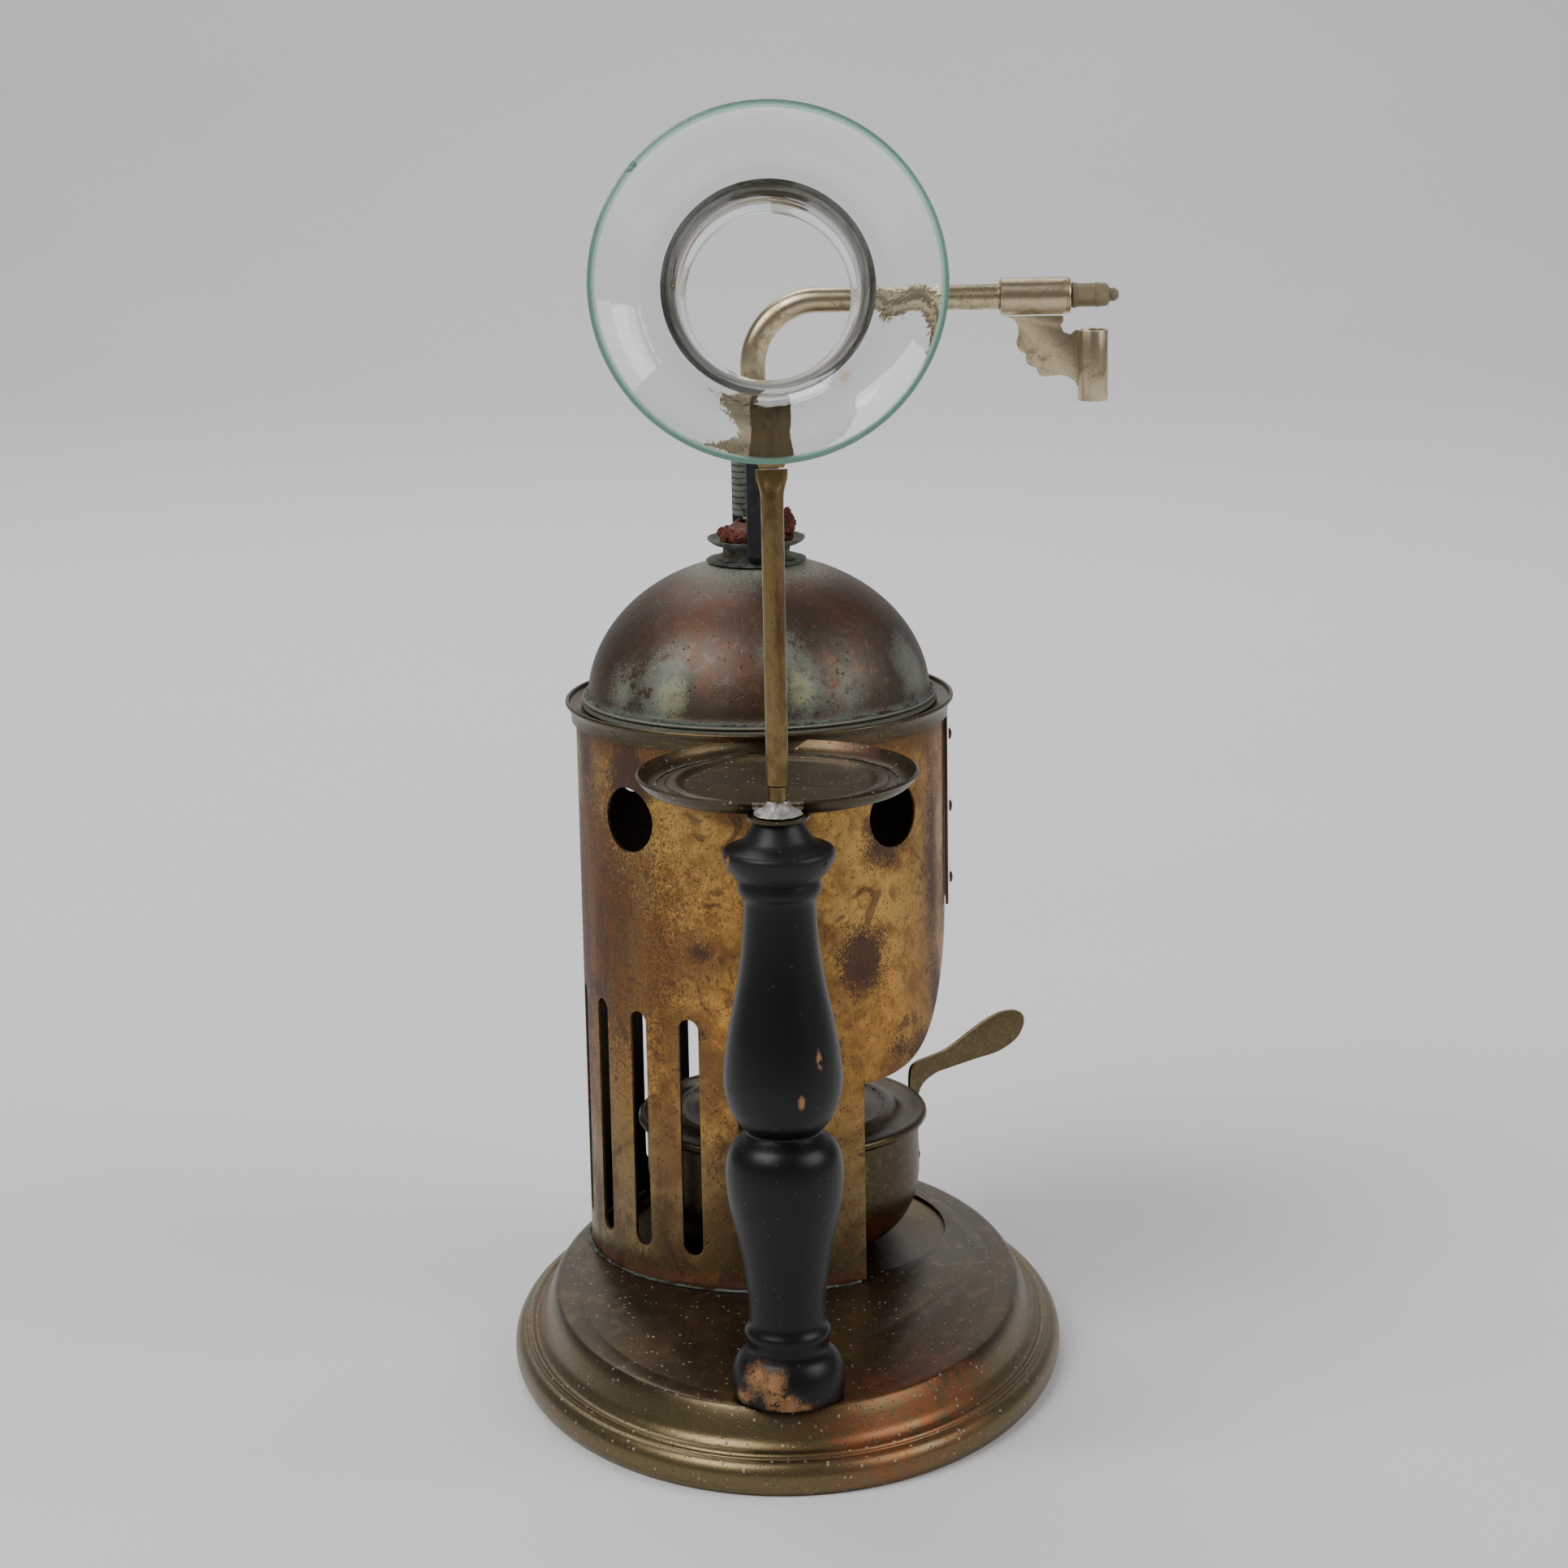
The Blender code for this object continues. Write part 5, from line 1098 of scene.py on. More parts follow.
class INHALER_OT_chimney(bpy.types.Operator):
    """Chimney wall with its slots, vents and door, the lapped seam and its rivets"""
    bl_idname = "inhaler.chimney"
    bl_label = "Chimney"

    def execute(self, context):
        sizes = context.scene.inhaler_chimney
        inner = CHIMNEY_RADIUS - sizes.wall
        steps = 30
        span = CHIMNEY_TOP - CHIMNEY_FOOT
        up = [(CHIMNEY_RADIUS, CHIMNEY_FOOT + span * i / steps) for i in range(steps + 1)]
        wall = lathe("chimney_wall", CHIMNEY, up + [(inner, z) for _, z in up[::-1]], 192)
        half = sizes.slot_width / 2
        low = CHIMNEY_FOOT + 7.0 * MM + half
        high = low + sizes.slot_length - sizes.slot_width
        for i in range(sizes.slot_count):
            angle = -pi / 2 + sizes.slot_pitch * (i - (sizes.slot_count - 1) / 2)
            cut(wall, slot_tool(angle, low, high, half))
        vent_height = CHIMNEY_TOP - 18.6 * MM
        for angle in (45, 135, 225, 315):
            cut(wall, slot_tool(radians(angle), vent_height, vent_height, sizes.vent_radius))
        cut(wall, door_tool())
        ease(wall, 0.12 * MM, 2, 50)
        done(wall, "stand", "aged_brass", look("aged_brass_chimney"), "shell", angle=30)
        make_seam()
        return {"FINISHED"}


def slot_tool(angle, low, high, half):
    """Round-ended bar that crosses the chimney's wall at an angle from the front."""
    start()
    bpy.ops.mesh.primitive_cylinder_add(vertices=40, radius=half, depth=0.4 * CHIMNEY_RADIUS,
                                        location=(0, -CHIMNEY_RADIUS, low), rotation=(pi / 2, 0, 0))
    tool = bpy.context.object
    place_now(tool)
    for vert in tool.data.vertices:
        if vert.co.z > low:
            vert.co.z += high - low
    tool.rotation_euler = (0, 0, angle)
    tool.location = (CHIMNEY.x, CHIMNEY.y, 0)
    place_now(tool)
    return tool


def door_tool():
    """Bell-topped block that opens the lamp's door on the +X side, a little wider behind."""
    front, behind = radians(58.4), radians(61.4)
    points = []
    steps = 48
    for i in range(steps + 1):
        turn = -front + (front + behind) * i / steps
        crown = 31.0 * MM * exp(-5.0 * abs(turn / front) ** 1.65)
        points.append((CHIMNEY.x + 0.2 * CHIMNEY_RADIUS, CHIMNEY.y + CHIMNEY_RADIUS * sin(turn),
                       CHIMNEY_FOOT + 44.0 * MM + crown))
    below = CHIMNEY_FOOT - 10 * MM
    points += [(points[-1][0], points[-1][1], below), (points[0][0], points[0][1], below)]
    return outline("door_tool", points, (CHIMNEY_RADIUS * 1.1, 0, 0))


def make_seam():
    """Lapped strip and three flat rivets above the door."""
    low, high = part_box("seam_strip")
    inner = CHIMNEY_RADIUS + GAP
    strip = lathe("seam_lap", CHIMNEY, [(inner, low.z), (inner + 0.6 * MM, low.z),
                                        (inner + 0.6 * MM, high.z), (inner, high.z)], 240)
    half = 6.45
    keep_span(strip, CHIMNEY, 90 - half, 90 + half)
    ease(strip, 0.12 * MM)
    done(strip, "stand", "aged_brass", look("aged_brass_rim"), "seam_strip")
    for i in range(1, 4):
        make_rivet(f"seam_stud_{i}", f"seam_rivet_{i}", 90, "stand", "aged_brass")


def make_rivet(name, node, angle, body, slot):
    """Domed rivet head in place of a plain one on an upright wall."""
    low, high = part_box(node)
    middle = (low + high) / 2
    turn = radians(angle)
    out = Vector((sin(turn), -cos(turn), 0))
    radius = (high.z - low.z) / 2
    depth = 0.7 * MM
    seat = middle - out * depth / 2
    dome = [(radius, 0.0), (radius * 0.97, depth * 0.25)] + [(radius * cos(a),
                                                              depth * (0.25 + 0.75 * sin(a)))
                                                             for a in (0.35, 0.7, 1.05, 1.35)]
    head = solid(name, (0, 0), dome, 32)
    head.rotation_euler = (pi / 2, 0, turn)
    head.location = seat
    place_now(head)
    done(head, body, slot, look("aged_brass_rim"), node)


class INHALER_OT_rim(bpy.types.Operator):
    """Everted rim that carries the boiler, with the scale that has gathered in it"""
    bl_idname = "inhaler.rim"
    bl_label = "Rim"

    def execute(self, context):
        collar = CHIMNEY_RADIUS + GAP
        outside = collar + 0.7 * MM
        lip = CHIMNEY_RADIUS + 2.24 * MM
        seat = BOILER_RADIUS + 0.6 * MM
        under = CHIMNEY_TOP + GAP
        flare = rounded([(outside, CHIMNEY_TOP - 0.6 * MM), (outside + 0.25 * MM, CHIMNEY_TOP + 0.3 * MM),
                         (lip - 0.5 * MM, CHIMNEY_TOP + 1.0 * MM), (lip - 0.05 * MM, RIM_TOP - 0.75 * MM)],
                        4)
        bead = arc((lip - 0.45 * MM, RIM_TOP - 0.45 * MM), 0.45 * MM, 0, 200, 8)
        inside = rounded([(lip - 1.0 * MM, RIM_TOP - 0.85 * MM), (collar + 0.2 * MM, under + 0.95 * MM),
                          (collar - 0.6 * MM, under + 0.7 * MM)], 4)
        profile = ([(seat, under), (collar, under), (collar, CHIMNEY_TOP - 2.0 * MM),
                    (outside, CHIMNEY_TOP - 2.0 * MM)] + flare + bead + inside + [(seat, under + 0.7 * MM)])
        rim = lathe("rim_collar", CHIMNEY, profile, 160)
        done(rim, "stand", "aged_brass", look("aged_brass_rim"), "shell_rim", angle=30)
        return {"FINISHED"}


class INHALER_OT_boiler(bpy.types.Operator):
    """Spun boiler: dome, bowl, filler neck and the scale round them"""
    bl_idname = "inhaler.boiler"
    bl_label = "Boiler"

    def execute(self, context):
        spring_line = DOME_FOOT - 0.8 * MM
        neck = 7.5 * MM
        steps = 40
        wall = 0.8 * MM
        outer, inner = [], []
        for i in range(steps + 1):
            turn = pi / 2 * i / steps
            for run, inset in ((outer, 0.0), (inner, wall)):
                radius = (BOILER_RADIUS - inset) * cos(turn)
                height = spring_line + (DOME_HEIGHT - inset) * sin(turn)
                if radius > neck and height > DOME_FOOT + 1.2 * MM - inset:
                    run.append((radius, height))
        flange = [(BOILER_RADIUS + 0.1 * MM, DOME_FOOT + 0.9 * MM),
                  (BOILER_RADIUS + 1.1 * MM, DOME_FOOT + 0.7 * MM),
                  (BOILER_RADIUS + 1.3 * MM, DOME_FOOT + 0.35 * MM), (BOILER_RADIUS + 1.1 * MM, DOME_FOOT),
                  (BOILER_RADIUS - wall, DOME_FOOT)]
        dome = lathe("dome_spinning", CHIMNEY, outer[::-1] + flange + inner, 160)
        ripple(dome, 0.16 * MM, 16 * MM, 1)
        done(dome, "boiler", "dark_copper", look("dark_copper_boiler"), "boiler_dome")

        bowl_top = foot("boiler_dome") - 1.1 * MM
        depth = 27.0 * MM
        low = [((BOILER_RADIUS - 0.05 * MM) * cos(a), bowl_top - depth * sin(a))
               for a in [radians(88) * i / 24 for i in range(25)]]
        high = [((BOILER_RADIUS - wall) * cos(a), bowl_top - (depth - wall) * sin(a))
                for a in [radians(88) * i / 24 for i in range(25)]]
        lip = [(BOILER_RADIUS + 1.3 * MM, bowl_top), (BOILER_RADIUS + 1.3 * MM, bowl_top + wall),
               (BOILER_RADIUS - wall, bowl_top + wall)]
        bowl = solid("bowl_spinning", CHIMNEY, low[::-1] + lip + high, 128)
        done(bowl, "boiler", "dark_copper", look("dark_copper_boiler"), "boiler_bowl")

        crown = top("boiler_dome") + 0.6 * MM
        base = foot("boiler_neck")
        flare = rounded([(7.2 * MM, SAUCER - 1.6 * MM), (7.9 * MM, SAUCER - 1.0 * MM),
                         (9.3 * MM, SAUCER - 0.6 * MM), (10.5 * MM, SAUCER + 0.25 * MM)], 4)
        bore = 6.2 * MM
        profile = ([(7.2 * MM, base), (7.2 * MM, crown - 0.5 * MM), (8.9 * MM, crown - 0.3 * MM),
                    (8.7 * MM, crown + 0.2 * MM), (7.5 * MM, crown + 0.5 * MM),
                    (7.2 * MM, crown + 1.1 * MM)] + flare + [(10.6 * MM, SAUCER + 0.6 * MM),
                                                             (10.2 * MM, SAUCER + 0.7 * MM),
                                                             (9.3 * MM, SAUCER), (bore, SAUCER),
                                                             (bore, base)])
        throat = lathe("neck_turning", CHIMNEY, profile, 96)
        ripple(throat, 0.35 * MM, 1.6 * MM)
        done(throat, "boiler", "pale_bronze", look("pale_bronze_neck"), "boiler_neck", angle=60)
        crust_ring("neck_scale", CHIMNEY, 7.6 * MM, top("boiler_dome") - 0.15 * MM, 4.2 * MM, 1.1 * MM,
                   "boiler")
        crust_ring("dome_foot_scale", CHIMNEY, BOILER_RADIUS + 0.05 * MM, DOME_FOOT + 0.75 * MM, 1.1 * MM,
                   0.6 * MM, "boiler")
        return {"FINISHED"}


class INHALER_OT_valve(bpy.types.Operator):
    """Sprung relief valve: crusted cork, coil spring and iron stirrup"""
    bl_idname = "inhaler.valve"
    bl_label = "Valve"

    def execute(self, context):
        cork_top = top("cork_stopper")
        profile = [(3.0, -6.0), (5.4, -6.0), (5.8, -2.0), (5.8, 0.35), (7.2, 0.4), (7.4, 1.2), (6.7, 2.2),
                   (5.2, 3.5), (4.3, (cork_top - SAUCER) / MM), (3.0, (cork_top - SAUCER) / MM)]
        cork = lathe("cork_turning", CHIMNEY, mm(profile, up=SAUCER), 96)
        apply(cork, "SUBSURF", levels=1, render_levels=1)
        ripple(cork, 0.7 * MM, 1.1 * MM, 3)
        done(cork, "valve", "crusted_cork", look("crusted_cork"), "cork_stopper", angle=60)

        low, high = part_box("valve_spring")
        wire = 0.7 * MM
        turns = 9
        pitch = (high.z - low.z - 2 * wire) / turns
        start()
        radius = (high.x - low.x) / 2 - wire
        bpy.ops.mesh.primitive_circle_add(vertices=14, radius=wire, rotation=(pi / 2, 0, 0),
                                          location=(radius, 0, 0), fill_type="NGON")
        spring = name_it("spring_winding")
        place_now(spring)
        apply(spring, "SCREW", axis="Z", screw_offset=pitch, iterations=turns, steps=40, render_steps=40,
              use_merge_vertices=False)
        spring.location = (CHIMNEY.x, CHIMNEY.y, low.z + wire)
        place_now(spring)
        close_shape(spring)
        ripple(spring, 0.28 * MM, 0.8 * MM)
        done(spring, "boiler", "corroded_spring", look("corroded_spring"), "valve_spring", angle=60)
        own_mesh(spring)
        make_stirrup()
        return {"FINISHED"}


def make_stirrup():
    """Iron strap that hooks under the saucer and bears on the spring."""
    low, high = foot("valve_yoke"), top("valve_yoke")
    inside, outside = 10.9 * MM, 12.4 * MM
    under = high - 1.5 * MM
    hook = 7.8 * MM
    hook_top = SAUCER - 1.2 * MM
    half_out = [(hook, low), (outside - 0.6 * MM, low), (outside, low + 0.6 * MM)]
    half_out += arc((outside - 2.4 * MM, high - 2.4 * MM), 2.4 * MM, 0, 90, 6)
    half_in = arc((inside - 1.6 * MM, under - 1.6 * MM), 1.6 * MM, 90, 0, 6)
    half_in += [(inside, hook_top), (hook, hook_top)]
    points = half_out + [(-x, z) for x, z in half_out[::-1]] + [(-x, z) for x, z in half_in[::-1]] + half_in
    wide = 7.0 * MM
    strap = outline("stirrup_strap", [(x, -wide / 2, z) for x, z in points], (0, wide, 0))
    start()
    bpy.ops.mesh.primitive_cylinder_add(vertices=48, radius=TUBE_RADIUS + 0.35 * MM, depth=8 * MM,
                                        location=(0, 0, high))
    cut(strap, bpy.context.object)
    ease(strap, 0.25 * MM, 3)
    strap.rotation_euler = (0, 0, pi / 2 + radians(8))
    strap.location = (CHIMNEY.x, CHIMNEY.y, 0)
    place_now(strap)
    done(strap, "boiler", "black_iron", look("black_iron"), "valve_yoke")
    lump_low = SAUCER + 1.0 * MM
    for i, (x, y, z, size, tall) in enumerate(((6.6, -2.0, 2.2, 1.9, 2.0), (-5.6, -4.4, 0.5, 1.9, 0.8),
                                               (-3.4, -6.2, 0.3, 1.5, 0.8), (-6.6, 0.6, 0.4, 1.6, 0.9))):
        rust = lump(f"rust_lump_{i + 1}", (CHIMNEY.x + x * MM, CHIMNEY.y + y * MM, lump_low + z * MM),
                    size, (1, 1, tall), 5)
        ripple(rust, 1.3 * MM, 1.5 * MM, 1)
        ripple(rust, 1.0 * MM, 0.45 * MM, 3)
        done(rust, "valve", "crusted_cork", look("rust_lump"), angle=60)


class INHALER_OT_steam_arm(bpy.types.Operator):
    """Bent steam tube, nozzle, sleeve and siphon clip"""
    bl_idname = "inhaler.steam_arm"
    bl_label = "Steam arm"

    def execute(self, context):
        bend = 14.0 * MM
        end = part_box("steam_tube")[1].x
        low = foot("steam_tube")
        start()
        bpy.ops.mesh.primitive_circle_add(vertices=48, radius=TUBE_RADIUS,
                                          location=(CHIMNEY.x, CHIMNEY.y, low))
        tube = name_it("steam_pipe")
        place_now(tube)
        edit()
        bend_foot = ARM.z - bend
        bpy.ops.mesh.extrude_region_move(TRANSFORM_OT_translate={"value": (0, 0, bend_foot - low)})
        bpy.ops.mesh.spin(steps=24, angle=-pi / 2, center=(CHIMNEY.x + bend, CHIMNEY.y, bend_foot),
                          axis=(0, 1, 0))
        bpy.ops.mesh.extrude_region_move(TRANSFORM_OT_translate={"value": (end - CHIMNEY.x - bend, 0, 0)})
        bpy.ops.object.mode_set(mode="OBJECT")
        close_shape(tube)
        apply(tube, "SOLIDIFY", thickness=1.0 * MM, offset=-1)
        ease(tube, 0.12 * MM)
        done(tube, "steam_arm", "dull_nickel", look("dull_nickel"), "steam_tube")

        cone = [(1.4, -15.0), (1.4, -10.0), (2.5, -10.0), (2.75, -9.8), (2.75, -9.1), (2.5, -8.8),
                (2.5, -5.0), (2.62, -4.8), (2.62, -4.2), (2.5, -4.0), (2.45, -2.7), (2.2, -2.2),
                (1.55, -1.9), (1.35, -1.5), (1.5, -1.1), (1.25, -0.5), (0.8, 0.0), (0.5, 0.0), (0.5, -15.0)]
        nozzle = lathe("nozzle_turning", (0, 0), mm(cone), 64)
        along_arm(nozzle, NOZZLE_POINT)
        done(nozzle, "steam_arm", "pale_bronze", look("pale_bronze_nozzle"), "nozzle_tip", angle=30)

        sleeve_low, sleeve_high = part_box("bracket_sleeve")
        length = sleeve_high.x - sleeve_low.x
        outer, inner = 3.95 * MM, 3.0 * MM
        bead = 0.25 * MM
        profile = [(inner, 0), (outer - bead, 0), (outer, bead), (outer, length - 0.9 * MM),
                   (outer - 0.2 * MM, length - 0.7 * MM), (outer - 0.2 * MM, length - 0.5 * MM),
                   (outer, length - 0.35 * MM), (outer - bead, length), (inner, length)]
        sleeve = lathe("sleeve_turning", (0, 0), profile, 96)
        along_arm(sleeve, sleeve_low.x)
        done(sleeve, "steam_arm", "dull_nickel", look("dull_nickel"), "bracket_sleeve", angle=30)
        make_clip()
        return {"FINISHED"}


def along_arm(piece, x):
    """Turn a piece made upright to lie along the arm, with its zero at x."""
    piece.rotation_euler = (0, pi / 2, 0)
    piece.location = (x, CHIMNEY.y, ARM.z)
    place_now(piece)


def make_clip():
    """Scalloped plate soldered under the sleeve and rolled round at its end."""
    low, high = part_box("siphon_clip")
    axis = NOZZLE_POINT - 5.4 * MM
    roll, sheet = 3.3 * MM, 0.6 * MM
    wall = axis - roll
    head = high.z
    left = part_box("bracket_sleeve")[0].x + 0.3 * MM
    clip_foot = low.z
    clip_top = clip_foot + 15.0 * MM
    corners = mm([(0, 0), (3.7, -3.9), (5.3, -8.0), (7.4, -10.9), (10.4, -12.8)], left, head)
    corners.append((wall + 0.6 * MM, clip_foot + 0.4 * MM))
    edge = [corners[0]]
    for first, last, side in zip(corners, corners[1:], (-1, 1, 1, 1, -1)):
        a, b = Vector(first), Vector(last)
        across = Vector((-(b - a).y, (b - a).x)) * 0.28 * side
        edge += [tuple(a.lerp(b, t) - across * 4 * t * (1 - t)) for t in (0.2, 0.4, 0.6, 0.8, 1.0)]
    right = [(wall + 0.9 * MM, clip_foot + 0.4 * MM)]
    right += mm([(0.9, 0), (-0.4, 0), (-1.5, -0.9), (-2.9, -0.4), (-3.5, 1.0), (-2.9, 2.0)], wall, clip_top)
    right.append((wall - 3.1 * MM, head))
    plate = outline("clip_plate", [(x, CHIMNEY.y - sheet / 2, z) for x, z in edge + right], (0, sheet, 0))
    ease(plate, 0.12 * MM)
    ripple(plate, 0.12 * MM, 4 * MM, 1)
    done(plate, "steam_arm", "dull_nickel", look("dull_nickel"), "siphon_clip")
    facets = 11
    steps = 34
    path = []
    for i in range(steps + 1):
        turn = radians(175 + 325 * i / steps)
        swell = 1 - 0.035 * abs(sin(facets / 2 * turn))
        path.append((axis + roll * swell * cos(turn), CHIMNEY.y + roll * swell * sin(turn)))
    inner = [(axis + (x - axis) * (1 - sheet / roll), CHIMNEY.y + (y - CHIMNEY.y) * (1 - sheet / roll))
             for x, y in path]
    coil = outline("clip_roll", [(x, y, clip_foot) for x, y in path + inner[::-1]],
                   (0, 0, clip_top - clip_foot))
    ease(coil, 0.10 * MM)
    done(coil, "steam_arm", "dull_nickel", look("dull_nickel"))


class INHALER_OT_rod(bpy.types.Operator):
    """Hollow rod flattened at its top, the strap and the band round the glass"""
    bl_idname = "inhaler.rod"
    bl_label = "Rod and band"

    def execute(self, context):
        low, high = foot("support_rod"), top("support_rod")
        radius = 2.175 * MM
        flat_start = high - 6 * MM
        levels = [(radius, radius, low)]
        levels += [(radius, radius, low + (flat_start - low) * i / 12) for i in range(1, 13)]
        for wide, thick, down in ((1.04, 0.95, 4.4), (1.2, 0.7, 3.0), (1.36, 0.5, 1.8), (1.4, 0.42, 0.9),
                                  (1.4, 0.36, 0.0)):
            levels.append((radius * wide, radius * thick, high - down * MM))
        bore = radius - 0.5 * MM
        shell = [(wide * bore / radius, long * bore / radius * 0.8, z) for wide, long, z in levels[:13]][::-1]
        rod = rings("rod_tube", COLUMN, levels + [(radius * 0.5, radius * 0.12, high)]
                    + [(bore * 0.6, bore * 0.4, high - 9 * MM)] + shell + levels[:1], 64)
        done(rod, "rod", "aged_brass", look("aged_brass_rod"), "support_rod")

        strap_low, strap_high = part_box("band_strap")
        mid = (strap_low + strap_high) / 2
        wide = (strap_high.x - strap_low.x) / 2
        sheet = 0.8 * MM
        points = [(-wide * 0.62, strap_low.z), (wide * 0.62, strap_low.z),
                  (wide * 0.8, strap_low.z + 1.4 * MM), (wide, strap_low.z + 3.2 * MM),
                  (wide, strap_high.z), (-wide, strap_high.z), (-wide, strap_low.z + 3.2 * MM),
                  (-wide * 0.8, strap_low.z + 1.4 * MM)]
        strap = outline("strap_plate", [(COLUMN.x + x, mid.y - sheet / 2, z) for x, z in points],
                        (0, sheet, 0))
        ease(strap, 0.15 * MM)
        done(strap, "rod", "aged_brass", look("aged_brass_rod"), "band_strap")

        inner, outer = 19.3 * MM, 19.9 * MM
        back = (FUNNEL_MOUTH.y - COLUMN.y) * -1 / cos(FUNNEL_TILT) + outer * tan(FUNNEL_TILT)
        first, last = back - 4.0 * MM, back + 4.0 * MM
        edge = 0.25 * MM
        profile = [(inner, first), (outer + edge / 2, first), (outer + edge / 2, first + edge),
                   (outer - 0.05 * MM, first + 2.4 * edge), (outer - 0.05 * MM, last - 2.4 * edge),
                   (outer + edge / 2, last - edge), (outer + edge / 2, last), (inner, last)]
        band = lathe("band_hoop", (0, 0), profile, 160)
        along_funnel(band)
        done(band, "rod", "aged_brass", look("aged_brass_rod"), "glass_band", angle=30)
        return {"FINISHED"}


def along_funnel(piece):
    """Turn a piece made upright to lie along the funnel, with its zero at the mouth."""
    piece.rotation_euler = (-pi / 2 - FUNNEL_TILT, 0, 0)
    piece.location = FUNNEL_MOUTH
    place_now(piece)


class INHALER_OT_glass(bpy.types.Operator):
    """Flared glass funnel with a ground green edge and a chip"""
    bl_idname = "inhaler.glass"
    bl_label = "Glass funnel"

    def execute(self, context):
        mouth = 32.95 * MM
        length = 36.9 * MM
        inside = rounded([(31.9, 0.25), (30.7, 0.9), (28.5, 2.4), (25.1, 5.2), (22.0, 8.4), (19.9, 11.6),
                          (18.4, 14.6), (17.4, 17.6), (17.1, 20.5), (17.0, 24.0), (16.7, 28.0),
                          (16.1, 33.0), (15.75, 36.3)], 4)
        outside = rounded([(32.88, 1.3), (31.4, 2.6), (29.3, 4.5), (26.3, 7.1), (23.5, 10.3), (21.5, 13.4),
                           (20.0, 16.2), (19.1, 18.6), (18.85, 21.5), (18.75, 25.0), (18.4, 29.0),
                           (17.8, 33.0), (17.35, 36.4)], 4)
        tail = arc((16.55, 36.15), 0.78, 20, 160, 6)
        profile = mm(inside[::-1])
        edge = [(32.4, 0.15), (32.85, 0.45)]
        profile += mm(edge) + mm(outside)
        profile += [(r * MM, min(z * MM, length)) for r, z in tail]
        glass = lathe("funnel_blowing", (0, 0), profile, 192)
        ripple(glass, 0.08 * MM, 22 * MM, 1)
        chip_turn = radians(41)
        chip = lump("glass_chip", (-mouth * cos(chip_turn), mouth * sin(chip_turn), 0), 1.5, (1.0, 1.0, 0.6))
        ripple(chip, 1.0 * MM, 1.4 * MM)
        chip.scale = (1, -1, 1)
        place_now(chip)
        close_shape(chip)
        cut(glass, chip)
        glass.data.materials.clear()
        along_funnel(glass)
        done(glass, "funnel", "clear_glass", look("clear_glass"), "glass_funnel", angle=50)
        glass.data.materials.append(look("glass_edge"))
        glass.data.materials.append(look("grime_and_painted_band_reflection"))
        # The mouth's edge gets the green edge finish; faces under and beside the band get a dark film, partly
        # grime and partly a painted reflection of the band.
        axis = Vector((0, cos(FUNNEL_TILT), -sin(FUNNEL_TILT)))
        for face in glass.data.polygons:
            spot = face.center - FUNNEL_MOUTH
            along = spot.dot(axis)
            out = (spot - axis * along).length
            if out > mouth - 1.15 * MM or (along > length - 1.6 * MM and out < 17.6 * MM):
                face.material_index = 1
            elif 14.0 * MM < along < 28.5 * MM and out > 18.2 * MM:
                face.material_index = 2
        return {"FINISHED"}


